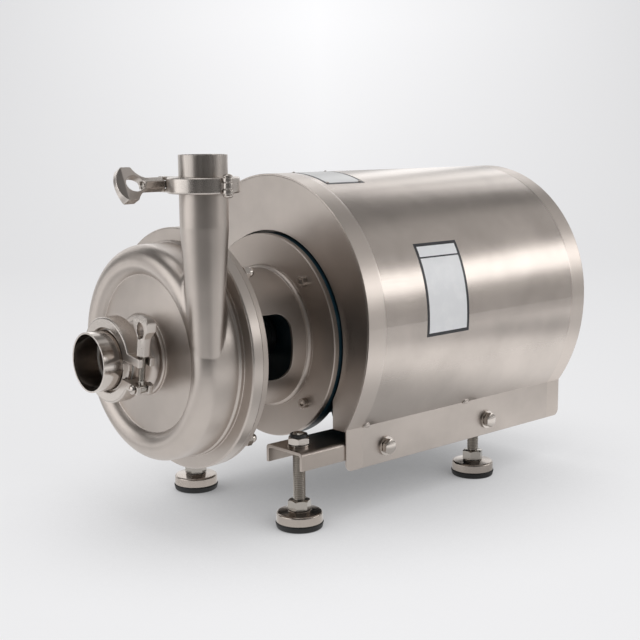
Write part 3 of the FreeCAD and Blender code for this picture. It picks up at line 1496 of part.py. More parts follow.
# Levelling feet: rubber pad, steel cup and a threaded stem with its hexagon, each foot a
# body of its own, with lock nuts and washers on the rails
def make_feet():
    corners = []
    for name, x, side in (
        ("front_near", S.foot_front_x, -1),
        ("rear_near", foot_rear_x, -1),
        ("front_far", S.foot_front_x, 1),
        ("rear_far", foot_rear_x, 1),
    ):
        corners.append((name, x, S.foot_half_track * side))
    nuts = []
    washers = []
    cup_top = S.pad_height + S.cup_height
    hex_low = cup_top + 1.5
    for name, x, y in corners:
        rubber = new_body("foot_pad_" + name)
        sketch = new_sketch(rubber, "XZ_Plane")
        draw_loop(sketch, [
            (0.0, 0.0),
            (S.pad_radius - 2.6, 0.0),
            Bend(S.pad_radius - 0.8, 1.8, 2.0, False),
            (S.pad_radius, S.pad_height - 1.2),
            (S.pad_radius - 0.4, S.pad_height - 0.05),
            (0.0, S.pad_height - 0.05),
        ])
        revolve(rubber, sketch, "V_Axis")
        place(rubber, x, y, 0.0)
        node(rubber, "foot_pad_" + name)

        cup = new_body("foot_cup_" + name)
        sketch = new_sketch(cup, "XZ_Plane")
        draw_loop(sketch, [
            (0.0, S.pad_height),
            (S.cup_radius, S.pad_height),
            (S.cup_radius - 0.3, cup_top - 2.0),
            Bend(S.cup_radius - 2.3, cup_top, 2.0, False),
            (S.stem_radius + 5.0, cup_top + 1.2),
            (S.stem_radius + 5.0, cup_top + 1.45),
            (0.0, cup_top + 1.45),
        ])
        revolve(cup, sketch, "V_Axis")
        place(cup, x, y, 0.0)
        node(cup, "foot_cup_" + name)

        top = S.base_top + S.stem_above_rail
        nut = hexagon("stem_hex_" + name, S.foot_hex_flats, S.foot_hex_height, x, y, hex_low)
        rod = cylinder("stem_rod_" + name, S.stem_radius, top - hex_low, x, y, hex_low)
        node(fuse("foot_stem_" + name, [nut, rod]), "foot_stem_" + name)

        washer = cylinder("washer_" + name, S.foot_washer_radius, S.washer_thickness, x, y, S.base_top + 0.05)
        hole = cylinder("washer_hole_" + name, S.stem_radius + 0.3, S.washer_thickness * 3, x, y,
                        S.base_top - S.washer_thickness)
        washers.append(cut("washer_cut_" + name, washer, hole))
        seat = S.base_top + S.washer_thickness + 0.1
        lock = hexagon("lock_hex_" + name, S.foot_hex_flats, S.lock_nut_height - 2.0, x, y, seat)
        collar = cylinder("lock_collar_" + name, S.foot_hex_flats / 2 - 1.0, S.lock_nut_height, x, y, seat)
        whole = fuse("lock_whole_" + name, [lock, collar])
        bore = cylinder("lock_bore_" + name, S.stem_radius + S.running_clearance, 20.0, x, y, seat - 5.0)
        nuts.append(cut("lock_" + name, whole, bore))
    node(group("foot_lock_nuts", nuts), "foot_lock_nuts")
    node(group("foot_washers", washers), "foot_washers")


make_casing()
make_back_cover()
make_adapter()
make_adapter_fasteners()
make_rotating_parts()

# The suction joint looks along -X with its bolt standing up on the near side, a little
# below the level of the shaft
ClampJoint("suction", S.suction_tube, S.suction_wall, S.suction_rim, S.suction_clamp_outer,
           S.suction_clamp_width, S.suction_stub, S.suction_bolt_offset, S.suction_nut_length,
           S.suction_wing_half_width, (suction_x, 0.0, shaft_z),
           Rot(X_DIR, 9).multiply(Rot(Y_DIR, -90)), 90).make()

# The discharge joint looks up, with its bolt across the shaft line on the far side
ClampJoint("discharge", S.discharge_tube, S.discharge_wall, S.discharge_rim, S.discharge_clamp_outer,
           S.discharge_clamp_width, S.discharge_stub, S.discharge_bolt_offset, S.discharge_nut_length,
           S.discharge_wing_half_width, (volute_x, discharge_y, discharge_z), Rot(Z_DIR, 180), 25).make()

make_motor()
make_motor_bolts()
make_cover()
make_cover_fasteners()
make_rails()
make_feet()

doc.recompute()

for thing in doc.Objects:
    if "Invalid" in thing.State or "Error" in thing.State:
        raise RuntimeError("%s failed: %s" % (thing.Name, thing.State))
for thing in NODES:
    if thing.Shape.isNull() or not thing.Shape.isValid():
        raise RuntimeError("%s has no valid shape" % thing.Label)

os.makedirs("parts", exist_ok=True)
for thing in NODES:
    thing.Shape.exportStep("parts/%s.step" % thing.Label)
print("%d sub-parts" % len(NODES))
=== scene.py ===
"""Dressed scene of the sanitary centrifugal pump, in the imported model's own frame."""

import logging
import math
from collections.abc import Iterable, Iterator, Mapping, Sequence
from contextlib import contextmanager
from dataclasses import dataclass, field
from enum import Enum
from functools import cache

import bmesh
import bpy
from mathutils import Matrix, Vector
from mathutils.bvhtree import BVHTree


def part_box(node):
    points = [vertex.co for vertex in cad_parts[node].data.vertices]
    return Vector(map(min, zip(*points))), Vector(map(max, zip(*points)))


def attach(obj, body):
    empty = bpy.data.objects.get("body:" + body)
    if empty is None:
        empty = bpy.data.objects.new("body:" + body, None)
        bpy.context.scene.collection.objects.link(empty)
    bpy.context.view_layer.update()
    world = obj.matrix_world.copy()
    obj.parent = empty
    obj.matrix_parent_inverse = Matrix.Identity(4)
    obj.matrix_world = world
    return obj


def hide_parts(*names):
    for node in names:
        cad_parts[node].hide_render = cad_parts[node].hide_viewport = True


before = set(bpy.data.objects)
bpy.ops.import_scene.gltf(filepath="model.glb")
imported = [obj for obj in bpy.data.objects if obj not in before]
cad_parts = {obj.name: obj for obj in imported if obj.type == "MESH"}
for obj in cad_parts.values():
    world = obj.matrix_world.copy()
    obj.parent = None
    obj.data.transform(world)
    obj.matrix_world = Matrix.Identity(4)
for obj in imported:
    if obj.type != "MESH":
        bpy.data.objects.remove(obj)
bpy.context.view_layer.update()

MM = 0.001
LOG = logging.getLogger("pump_scene")
Colour = tuple[float, float, float]
Point = tuple[float, float, float]
Span = tuple[float, float]
Section = Sequence[tuple[float, float]]
Socket = bpy.types.NodeSocket
Feeds = Mapping[str | int, object]

ORIGIN: Point = (0.0, 0.0, 0.0)
EVEN: Point = (1.0, 1.0, 1.0)


class Axis(Enum):
    """Directions of the frame: X runs along the shaft, Y to the far side and Z up."""

    X = 0
    Y = 1
    Z = 2


class Port(Enum):
    """The pump's two pipe joints."""

    SUCTION = "suction"
    DISCHARGE = "discharge"


class Corner(Enum):
    """The four feet, by the corner where they stand."""

    FRONT_NEAR = "front_near"
    REAR_NEAR = "rear_near"
    FRONT_FAR = "front_far"
    REAR_FAR = "rear_far"


class Grain(Enum):
    """How a metal surface was worked, which sets the direction of its fine lines."""

    ALONG_X = "along_x"
    ALONG_Z = "along_z"
    TURNED_X = "turned_x"
    BLASTED = "blasted"


class Slot(Enum):
    """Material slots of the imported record."""

    SATIN = "stainless_satin"
    BRIGHT = "stainless_bright"
    RUBBER = "black_rubber"
    SEAL = "seal_white"
    PAINT = "motor_paint"
    STEEL = "machined_steel"
    WINDING = "winding_steel"
    CARBON = "seal_carbon"
    PLASTIC = "fan_plastic"


def shade(tone: Colour, share: float, lift: float = 0.0) -> Colour:
    """A darker or paler version of a tone, no brighter than white."""
    return tuple(min(1.0, part * share + lift) for part in tone)


def extent(node: str) -> tuple[Vector, Vector]:
    """Lowest and highest corner of a CAD node's box in millimetres."""
    low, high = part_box(node)
    return Vector(low) / MM, Vector(high) / MM


def middle(node: str) -> Vector:
    """Middle of a CAD node's box in millimetres."""
    low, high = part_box(node)
    return (Vector(low) + Vector(high)) / 2 / MM


def turned(degrees: float, axis: Axis) -> Matrix:
    """A turn about an axis."""
    return Matrix.Rotation(math.radians(degrees), 4, axis.name)


def facing(place: Point, target: Point) -> Matrix:
    """The place of a camera or lamp that looks at a target."""
    away = Vector(target) - Vector(place)
    return Matrix.Translation(place) @ away.to_track_quat("-Z", "Y").to_matrix().to_4x4()


def linked(name: str, data: bpy.types.ID) -> bpy.types.Object:
    """A new object that is linked into the scene.

    Args:
        name: Name of the object.
        data: Its mesh, camera or lamp.

    Returns:
        The object.
    """
    thing = bpy.data.objects.new(name, data)
    bpy.context.scene.collection.objects.link(thing)
    return thing


class NodeGraph:
    """The node tree of a material or a world, with short calls that add and join nodes."""

    EDGE_DOTS: Span = (0.995, 0.86)

    def __init__(self, owner: bpy.types.ID) -> None:
        """Start an empty tree.

        Args:
            owner: The material or world.
        """
        owner.use_nodes = True
        self.owner = owner
        self.tree = owner.node_tree
        self.tree.nodes.clear()

    def add(self, kind: str, feeds: Feeds | None = None, **settings: object) -> bpy.types.Node:
        """Add one node.

        Args:
            kind: Node type, such as ShaderNodeMath.
            feeds: A source socket, a number or a colour for each named or numbered input.
            **settings: Properties of the node.

        Returns:
            The new node.
        """
        node = self.tree.nodes.new(kind)
        for key, value in settings.items():
            setattr(node, key, value)
        for socket, value in (feeds or {}).items():
            if isinstance(value, Socket):
                self.tree.links.new(value, node.inputs[socket])
            else:
                node.inputs[socket].default_value = value
        return node

    def maths(self, operation: str, first: object, second: object = 0.0,
              clamp: bool = False) -> Socket:
        """Join two numbers by an operation such as MULTIPLY, and clamp to 0 and 1 if asked."""
        feeds = {0: first, 1: second}
        return self.add("ShaderNodeMath", feeds, operation=operation, use_clamp=clamp).outputs[0]

    def vectors(self, operation: str, first: object, second: object) -> bpy.types.Node:
        """Join two vectors by an operation such as SUBTRACT."""
        return self.add("ShaderNodeVectorMath", {0: first, 1: second}, operation=operation)

    def remap(self, value: Socket, low: float, high: float, out_low: float, out_high: float,
              interpolation: str = "LINEAR") -> Socket:
        """Map a range of values to another one, clamped at its ends."""
        feeds = dict(enumerate((value, low, high, out_low, out_high)))
        return self.add("ShaderNodeMapRange", feeds, interpolation_type=interpolation).outputs[0]

    def place(self, centre: Point = ORIGIN, scale: Point = EVEN) -> Socket:
        """Object coordinates from a centre.

        Args:
            centre: The pattern's centre in millimetres.
            scale: Scale along each axis.

        Returns:
            The coordinates' socket.
        """
        source = self.add("ShaderNodeTexCoord").outputs["Object"]
        shift = self.vectors("SUBTRACT", source, tuple(part * MM for part in centre))
        return self.vectors("MULTIPLY", shift.outputs[0], scale).outputs[0]

    def axes(self, centre: Point = ORIGIN) -> Sequence[Socket]:
        """X, Y and Z of the object coordinates from a centre in millimetres."""
        return self.add("ShaderNodeSeparateXYZ", {0: self.place(centre)}).outputs

    def turned_place(self, centre: Point, scale: float) -> Socket:
        """Coordinates that run out from an axis along X and along it, for turned surfaces.

        Args:
            centre: A point of the axis in millimetres.
            scale: Lines per metre.

        Returns:
            The coordinates' socket.
        """
        along, *across = self.axes(centre)
        square = [self.maths("MULTIPLY", part, part) for part in across]
        radius = self.maths("SQRT", self.maths("ADD", *square))
        feeds = {0: self.maths("MULTIPLY", radius, scale), 1: self.maths("MULTIPLY", along, scale)}
        return self.add("ShaderNodeCombineXYZ", feeds).outputs[0]

    def noise(self, place: Socket, scale: float, detail: float = 2.0, rough: float = 0.5) -> Socket:
        """Noise between 0 and 1 on scaled coordinates, with finer layers of some strength."""
        feeds = {"Vector": place, "Scale": scale, "Detail": detail, "Roughness": rough}
        return self.add("ShaderNodeTexNoise", feeds).outputs["Fac"]

    def mix(self, factor: object, first: object, second: object) -> Socket:
        """Mix two colours.

        Args:
            factor: Share of the second colour.
            first: Colour or socket.
            second: Colour or socket.

        Returns:
            The mixed colour's socket.
        """
        sources = [side if isinstance(side, Socket) else (*side, 1.0) for side in (first, second)]
        feeds = {0: factor, 6: sources[0], 7: sources[1]}
        return self.add("ShaderNodeMix", feeds, data_type="RGBA").outputs[2]

    def rounded(self, radius: float) -> Socket:
        """A normal that rounds sharp edges with a radius in millimetres."""
        return self.add("ShaderNodeBevel", {"Radius": radius * MM}, samples=6).outputs[0]

    def edges(self, rounded: Socket) -> Socket:
        """Mask that is 1 on an edge and 0 on a face.

        Args:
            rounded: The rounded normal.

        Returns:
            The mask's socket.
        """
        flat = self.add("ShaderNodeNewGeometry").outputs["Normal"]
        agreement = self.vectors("DOT_PRODUCT", rounded, flat)
        return self.remap(agreement.outputs["Value"], *self.EDGE_DOTS, 0.0, 1.0)

    def bump(self, height: Socket, depth: float, normal: Socket | None = None) -> Socket:
        """Relief from a height.

        Args:
            height: Height between 0 and 1.
            depth: Depth of the relief in millimetres.
            normal: Normal that it starts from.

        Returns:
            The new normal's socket.
        """
        feeds = {"Strength": 1.0, "Distance": depth * MM, "Height": height}
        if normal is not None:
            feeds["Normal"] = normal
        return self.add("ShaderNodeBump", feeds).outputs[0]

    def shader(self, feeds: Feeds) -> bpy.types.Material:
        """End the tree with a Principled shader.

        Args:
            feeds: Values and sockets of the shader's inputs.

        Returns:
            The finished material.
        """
        surface = self.add("ShaderNodeBsdfPrincipled", feeds).outputs[0]
        self.add("ShaderNodeOutputMaterial", {"Surface": surface})
        return self.owner


@dataclass(frozen=True)
class MetalFinish:
    """Bare metal with worked lines, handling marks and rubbed edges, which are smoother from wear
    and paler with a painted highlight.
    """

    name: str
    slot: Slot
    tone: Colour
    roughness: float
    grain: Grain = Grain.BLASTED
    centre: Point = (0.0, 0.0, 168.0)
    line_pitch: float = 1.1
    line_stretch: float = 60.0
    line_noise: Span = (3.0, 0.6)
    line_range: Span = (0.25, 0.75)
    lines: float = 0.10
    relief: float = 0.006
    mark_scale: float = 22.0
    mark_noise: Span = (3.0, 0.55)
    mark_range: Span = (0.3, 0.7)
    mark_shade: float = 0.86
    mottling: float = 0.06
    wear: float = 0.10
    edge_radius: float = 0.6
    # Paler tone of the edges and its share: a painted highlight.
    edge_highlight_shade: float = 1.10
    edge_highlight_share: float = 0.6

    def line_place(self, graph: NodeGraph) -> Socket:
        """Coordinates of the worked lines.

        Args:
            graph: The material's tree.

        Returns:
            The coordinates' socket.
        """
        fine = 1.0 / (self.line_pitch * MM)
        slow = fine / self.line_stretch
        if self.grain is Grain.TURNED_X:
            return graph.turned_place(self.centre, fine)
        scales = {
            Grain.ALONG_X: (slow, fine, fine),
            Grain.ALONG_Z: (fine, fine, slow),
            Grain.BLASTED: (fine, fine, fine),
        }
        return graph.place(self.centre, scales[self.grain])

    def overlay(self, graph: NodeGraph, colour: Socket, rough: Socket,
                normal: Socket) -> tuple[Socket, Socket, Socket]:
        """Colour, roughness and normal as they are, for a finish with nothing laid over it."""
        return colour, rough, normal

    def build(self) -> bpy.types.Material:
        """Make the material.

        Returns:
            The finished material.
        """
        graph = NodeGraph(bpy.data.materials.new(self.name))
        lines = graph.noise(self.line_place(graph), 1.0, *self.line_noise)
        marks = graph.noise(graph.place(), self.mark_scale, *self.mark_noise)
        rounded = graph.rounded(self.edge_radius)
        edge = graph.edges(rounded)
        marked = graph.remap(marks, *self.mark_range, 0.0, 1.0)
        colour = graph.mix(marked, shade(self.tone, self.mark_shade), self.tone)
        # Painted highlight: the edges are mixed towards a paler tone; the lower roughness further
        # down is wear.
        rubbed = graph.maths("MULTIPLY", edge, self.edge_highlight_share)
        colour = graph.mix(rubbed, colour, shade(self.tone, self.edge_highlight_shade))
        swing = self.lines / 2
        rough = graph.remap(lines, *self.line_range, self.roughness - swing,
                            self.roughness + swing)
        smudge = graph.remap(marks, *self.mark_range, -self.mottling / 2, self.mottling / 2)
        rough = graph.maths("ADD", rough, smudge)
        worn = graph.maths("MULTIPLY", edge, self.wear)
        rough = graph.maths("SUBTRACT", rough, worn, clamp=True)
        normal = graph.bump(lines, self.relief, rounded)
        colour, rough, normal = self.overlay(graph, colour, rough, normal)
        return graph.shader({"Metallic": 1.0, "Base Color": colour, "Roughness": rough,
                             "Normal": normal})


@dataclass(frozen=True)
class HemmedFinish(MetalFinish):
    """Brushed sheet with flatter bands at its hems that are painted paler as a painted reflection
    of the folded hems, and duller above its side folds.
    """

    front: float = 0.0
    rear: float = 0.0
    hem: float = 21.0
    hem_soft: float = 1.0
    hem_step: float = 0.18
    # Paler tone of the hem bands and its share: a painted reflection of the folded hems.
    hem_reflection_shade: float = 1.12
    hem_reflection_share: float = 0.7
    hem_rough: float = 0.10
    dull_range: Span = (88.0, 150.0)
    dull_rough: float = 0.15

    def overlay(self, graph: NodeGraph, colour: Socket, rough: Socket,
                normal: Socket) -> tuple[Socket, Socket, Socket]:
        """Lay the hem bands over the sheet and dull it above its folds.

        Args:
            graph: The material's tree.
            colour: Colour so far.
            rough: Roughness so far.
            normal: Normal so far.

        Returns:
            The colour, the roughness and the normal with the bands.
        """
        along, _, height = graph.axes()
        hems = {self.front + self.hem: (1.0, 0.0), self.rear - self.hem: (0.0, 1.0)}
        bands = []
        for line, levels in hems.items():
            low, high = (line - self.hem_soft) * MM, (line + self.hem_soft) * MM
            bands.append(graph.remap(along, low, high, *levels))
        band = graph.maths("MAXIMUM", *bands)
        # Painted reflection: the hem bands are mixed towards a paler tone.
        share = graph.maths("MULTIPLY", band, self.hem_reflection_share)
        colour = graph.mix(share, colour, shade(self.tone, self.hem_reflection_shade))
        low, high = (level * MM for level in self.dull_range)
        dull = graph.remap(height, low, high, self.dull_rough, 0.0)
        rough = graph.maths("ADD", rough, graph.maths("MULTIPLY", band, self.hem_rough))
        rough = graph.maths("ADD", rough, dull, clamp=True)
        return colour, rough, graph.bump(band, self.hem_step, normal)


@dataclass(frozen=True)
class MouldedFinish:
    """Rubber, plastic, carbon or paint, with a fine skin and paler rubbed edges."""

    name: str
    slot: Slot
    tone: Colour
    roughness: float
    skin_size: float = 0.5
    relief: float = 0.02
    rubbed: float = 0.35
    edge_radius: float = 0.5
    coat: float = 0.0
    coat_roughness: float = 0.15
    pale: Span = (1.5, 0.03)
    dust_scale: float = 60.0
    dust_noise: Span = (4.0, 0.6)
    dust_range: Span = (0.45, 0.8)
    dust_share: float = 0.35
    dull_range: Span = (0.3, 0.8)
    dull_change: Span = (-0.06, 0.10)

    def build(self) -> bpy.types.Material:
        """Make the material.

        Returns:
            The finished material.
        """
        graph = NodeGraph(bpy.data.materials.new(self.name))
        skin = graph.noise(graph.place(), 1.0 / (self.skin_size * MM), 2.0)
        dust = graph.noise(graph.place(), self.dust_scale, *self.dust_noise)
        rounded = graph.rounded(self.edge_radius)
        edge = graph.edges(rounded)
        pale = shade(self.tone, *self.pale)
        dusty = graph.remap(dust, *self.dust_range, 0.0, self.dust_share)
        colour = graph.mix(dusty, self.tone, pale)
        colour = graph.mix(graph.maths("MULTIPLY", edge, self.rubbed), colour, pale)
        sleek, dull = (self.roughness + change for change in self.dull_change)
        rough = graph.remap(dust, *self.dull_range, sleek, dull)
        normal = graph.bump(skin, self.relief, rounded)
        return graph.shader({"Metallic": 0.0, "Coat Weight": self.coat,
                             "Coat Roughness": self.coat_roughness, "Base Color": colour,
                             "Roughness": rough, "Normal": normal})


@dataclass(frozen=True)
class WindingFinish:
    """Laminated core with varnished copper at its ends."""

    name: str
    slot: Slot
    steel: Colour = (0.30, 0.30, 0.31)
    copper: Colour = (0.42, 0.20, 0.09)
    metallic: float = 0.9
    plate_scale: float = 1600.0
    plate_range: Span = (0.2, 0.8)
    roughness: Span = (0.35, 0.55)
    relief: float = 0.08
    strand_scale: float = 700.0
    strand_range: Span = (0.35, 0.65)

    def build(self) -> bpy.types.Material:
        """Make the material.

        Returns:
            The finished material.
        """
        graph = NodeGraph(bpy.data.materials.new(self.name))
        plates = graph.noise(graph.place(ORIGIN, (1.0, 0.02, 0.02)), self.plate_scale, 1.0)
        strands = graph.noise(graph.place(ORIGIN, (0.2, 1.0, 1.0)), self.strand_scale, 2.0)
        wound = graph.remap(strands, *self.strand_range, 0.0, 1.0)
        colour = graph.mix(wound, self.steel, self.copper)
        rough = graph.remap(plates, *self.plate_range, *self.roughness)
        return graph.shader({"Metallic": self.metallic, "Base Color": colour, "Roughness": rough,
                             "Normal": graph.bump(plates, self.relief)})


Finish = MetalFinish | MouldedFinish | WindingFinish

WARM: Colour = (0.56, 0.505, 0.465)
PALE: Colour = (0.62, 0.57, 0.53)
WRAP_LOW, WRAP_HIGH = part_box("cover_wrap")


@dataclass(frozen=True)
class Finishes:
    """Every finish of the pump: first the metals, then the moulded parts, then the windings."""

    cast: Finish = MetalFinish(
        "casing_blasted", Slot.SATIN, WARM, 0.36, line_pitch=0.55, lines=0.05, relief=0.010,
        mottling=0.07, wear=0.14, edge_radius=1.5)
    flange: Finish = MetalFinish(
        "flange_turned", Slot.SATIN, WARM, 0.23, Grain.TURNED_X, line_pitch=1.6, lines=0.05,
        relief=0.002, mottling=0.08, edge_radius=0.5)
    adapter: Finish = MetalFinish(
        "adapter_blasted", Slot.SATIN, (0.52, 0.462, 0.42), 0.46, line_pitch=0.6, lines=0.06,
        relief=0.008, mottling=0.10, wear=0.20)
    wrap: Finish = HemmedFinish(
        "cover_brushed", Slot.SATIN, WARM, 0.25, Grain.ALONG_X, line_pitch=0.9, lines=0.04,
        relief=0.001, mottling=0.02, front=WRAP_LOW[0] / MM, rear=WRAP_HIGH[0] / MM)
    plate: Finish = MetalFinish(
        "plate_brushed", Slot.SATIN, WARM, 0.35, Grain.ALONG_Z, line_pitch=0.9, lines=0.04,
        relief=0.001, mottling=0.05)
    rail: Finish = MetalFinish(
        "rail_brushed", Slot.SATIN, (0.47, 0.415, 0.375), 0.33, Grain.ALONG_X, line_pitch=0.8,
        lines=0.06, relief=0.002, mottling=0.10)
    clamp: Finish = MetalFinish(
        "clamp_tumbled", Slot.BRIGHT, PALE, 0.29, line_pitch=0.7, lines=0.06, relief=0.008,
        mottling=0.10, wear=0.12, edge_radius=0.35)
    pipe_x: Finish = MetalFinish(
        "pipe_polished_x", Slot.BRIGHT, PALE, 0.18, Grain.ALONG_X, line_pitch=0.9, lines=0.12,
        relief=0.005, mottling=0.06)
    # Painted shade: the discharge ferrule's polished finish has a darker tone than the suction
    # ferrule's, to hold down the lamp's reflection in it.
    pipe_z_shaded: Finish = MetalFinish(
        "pipe_polished_z", Slot.BRIGHT, (0.52, 0.475, 0.44), 0.31, Grain.ALONG_Z,
        (-200.0, -84.5, 168.0), line_pitch=0.9, lines=0.14, relief=0.006, mottling=0.06)
    fastener: Finish = MetalFinish(
        "fastener_bright", Slot.BRIGHT, (0.58, 0.53, 0.49), 0.13, line_pitch=0.8, lines=0.06,
        relief=0.003, mottling=0.08, wear=0.08, edge_radius=0.2)
    thread: Finish = MetalFinish(
        "thread_rolled", Slot.BRIGHT, (0.43, 0.40, 0.365), 0.20, line_pitch=0.5, lines=0.10,
        relief=0.006, mottling=0.12, wear=0.05, edge_radius=0.2)
    cup: Finish = MetalFinish(
        "cup_turned", Slot.BRIGHT, (0.46, 0.41, 0.37), 0.22, line_pitch=0.8, lines=0.10,
        relief=0.004, mottling=0.08)
    steel: Finish = MetalFinish(
        "shaft_machined", Slot.STEEL, (0.42, 0.42, 0.42), 0.30, Grain.TURNED_X, line_pitch=0.7,
        lines=0.12, relief=0.008)
    plated: Finish = MetalFinish(
        "plate_anodised", Slot.BRIGHT, (0.60, 0.60, 0.60), 0.36, Grain.ALONG_X, line_pitch=0.5,
        lines=0.08, relief=0.003, mottling=0.03)
    rubber: Finish = MouldedFinish(
        "foot_rubber", Slot.RUBBER, (0.004, 0.004, 0.004), 0.62, skin_size=0.6, relief=0.03)
    nylon: Finish = MouldedFinish(
        "lock_nylon", Slot.PLASTIC, (0.020, 0.019, 0.019), 0.40, skin_size=0.4, relief=0.01)
    gasket: Finish = MouldedFinish(
        "seal_white", Slot.SEAL, (0.78, 0.78, 0.75), 0.45, relief=0.01, rubbed=0.1)
    carbon: Finish = MouldedFinish(
        "seal_carbon", Slot.CARBON, (0.035, 0.035, 0.038), 0.35, skin_size=0.3, relief=0.004,
        rubbed=0.2)
    paint: Finish = MouldedFinish(
        "motor_paint", Slot.PAINT, (0.004, 0.024, 0.037), 0.50, skin_size=1.6, relief=0.03,
        rubbed=0.1, edge_radius=0.8)
    fan: Finish = MouldedFinish(
        "fan_moulded", Slot.PLASTIC, (0.030, 0.030, 0.032), 0.5, skin_size=0.7)
    film: Finish = MouldedFinish(
        "label_film", Slot.SEAL, (0.80, 0.81, 0.83), 0.38, skin_size=1.0, relief=0.004,
        rubbed=0.05, edge_radius=0.2, coat=0.2)
    ink: Finish = MouldedFinish(
        "label_ink", Slot.PLASTIC, (0.022, 0.022, 0.026), 0.40, skin_size=1.0, relief=0.004,
        rubbed=0.05, edge_radius=0.2)
    winding: Finish = WindingFinish("stator_core", Slot.WINDING)


FINISHES = Finishes()


@cache
def material_of(finish: Finish) -> bpy.types.Material:
    """The finish's material, made on first use."""
    return finish.build()


class Form:
    """A mesh under construction, in millimetres about its own Z axis."""

    SMOOTH_LIMIT = math.radians(34)
    MERGE = 0.001
    CUT = 0.00001
    BEVEL_START = 0.475
    BEVEL_ANGLE = math.radians(30)
    THREAD_STEPS = 24
    CREST: Span = (0.42, 0.58)

    def __init__(self) -> None:
        """Start an empty mesh."""
        self.bm = bmesh.new()

    @contextmanager
    def at(self, place: Matrix) -> Iterator[None]:
        """Put what the with block makes at a place.

        Args:
            place: Where it goes.

        Yields:
            Nothing.
        """
        start = len(self.bm.verts)
        yield
        self.bm.verts.ensure_lookup_table()
        bmesh.ops.transform(self.bm, matrix=place, verts=self.bm.verts[start:])

    def line(self, section: Section, base: float = 0.0) -> list[bmesh.types.BMVert]:
        """Vertices of a half section of points as (radius, height), raised by a base height."""
        return [self.bm.verts.new((radius, 0.0, base + height)) for radius, height in section]

    def spun(self, points: list[bmesh.types.BMVert], ends: list[bmesh.types.BMVert], angle: float,
             steps: int, rise: float = 0.0) -> None:
        """Turn a half section about Z.

        Args:
            points: Its vertices.
            ends: The vertex that each of them is joined to.
            angle: Angle of the whole turn.
            steps: Steps of the turn.
            rise: Rise of each step, and 0 for a closed turn.
        """
        lines = [self.bm.edges.new(pair) for pair in zip(points, ends)]
        bmesh.ops.spin(self.bm, geom=points + lines, cent=(0, 0, 0), axis=(0, 0, 1),
                       dvec=(0, 0, rise), angle=angle, steps=steps, use_merge=rise == 0.0,
                       use_normal_flip=False, use_duplicate=False)

    def lathe(self, section: Section, steps: int = 64, closed: bool = False) -> None:
        """Turn a half section about Z, once round.

        Args:
            section: Points as (radius, height).
            steps: Steps of the turn.
            closed: Join the last point to the first.
        """
        points = self.line(section)
        ends = points[1:] + points[:1] if closed else points[1:]
        self.spun(points, ends, math.tau, steps)

    def hexagon(self, flats: float, low: float, high: float, bore: float = 0.0,
                steps: int = 72) -> None:
        """A hexagon with its corners turned off at 30 degrees at both ends.

        Args:
            flats: Width across the flats.
            low: Height of its lower face.
            high: Height of its upper face.
            bore: Radius of its bore, or 0.
            steps: Steps round it, a multiple of 12.
        """
        before = set(self.bm.verts)
        face = flats * self.BEVEL_START
        blank = flats
        section = [(bore, high), (face, high), (blank, high), (blank, low), (face, low),
                   (bore, low)]
        self.lathe(section, steps, closed=bore > 0.0)
        for vert in (v for v in self.bm.verts if v not in before):
            radius = math.hypot(vert.co.x, vert.co.y)
            if radius < (face + blank) / 2:
                continue
            turn = math.atan2(vert.co.y, vert.co.x)
            across = (turn + math.pi / 6) % (math.pi / 3) - math.pi / 6
            outline = flats / 2 / math.cos(across)
            drop = (outline - face) * math.tan(self.BEVEL_ANGLE)
            vert.co.x *= outline / radius
            vert.co.y *= outline / radius
            vert.co.z += -drop if vert.co.z > (low + high) / 2 else drop

    def thread(self, radius: float, depth: float, pitch: float, low: float, high: float) -> None:
        """A helical thread, cut square at both ends.

        Args:
            radius: Radius over the crests.
            depth: Depth of the grooves.
            pitch: Advance of one turn.
            low: Height where it starts.
            high: Height where it ends.
        """
        before = set(self.bm.verts)
        turns = math.ceil((high - low) / pitch) + 2
        core = radius - depth
        rise, fall = self.CREST
        section = [(core, 0.0), (radius, pitch * rise), (radius, pitch * fall), (core, pitch)]
        points = self.line(section, low - pitch)
        self.spun(points, points[1:], math.tau * turns, self.THREAD_STEPS * turns,
                  pitch / self.THREAD_STEPS)
        new = [v for v in self.bm.verts if v not in before]
        bmesh.ops.remove_doubles(self.bm, verts=new, dist=self.MERGE)
        for height, normal in ((low, (0, 0, -1)), (high, (0, 0, 1))):
            new = [v for v in self.bm.verts if v not in before]
            edges = {e for v in new for e in v.link_edges}
            faces = {f for v in new for f in v.link_faces}
            bmesh.ops.bisect_plane(self.bm, geom=new + list(edges) + list(faces), dist=self.CUT,
                                   plane_co=(0, 0, height), plane_no=normal, clear_outer=True)
        new = [v for v in self.bm.verts if v not in before]
        rims = {e for v in new for e in v.link_edges if e.is_boundary}
        bmesh.ops.holes_fill(self.bm, edges=list(rims), sides=0)

    def piece(self, name: str, body: str, finish: Finish,
              extra: Sequence[Finish] = ()) -> bpy.types.Object:
        """Finish the mesh as a piece that rides on a body.

        Args:
            name: Name of the piece.
            body: CAD body that carries it.
            finish: Its first finish.
            extra: Finishes of further material numbers.

        Returns:
            The piece, at the origin and in metres.
        """
        bmesh.ops.remove_doubles(self.bm, verts=self.bm.verts, dist=self.MERGE)
        bmesh.ops.recalc_face_normals(self.bm, faces=self.bm.faces)
        bmesh.ops.transform(self.bm, matrix=Matrix.Scale(MM, 4), verts=self.bm.verts)
        for face in self.bm.faces:
            face.smooth = True
        for edge in self.bm.edges:
            edge.smooth = edge.calc_face_angle(0.0) < self.SMOOTH_LIMIT
        mesh = bpy.data.meshes.new(name)
        self.bm.to_mesh(mesh)
        self.bm.free()
        for each in (finish, *extra):
            mesh.materials.append(material_of(each))
        piece = linked(name, mesh)
        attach(piece, body)
        LOG.info("made %s: %d faces, on %s", name, len(mesh.polygons), body)
        return piece


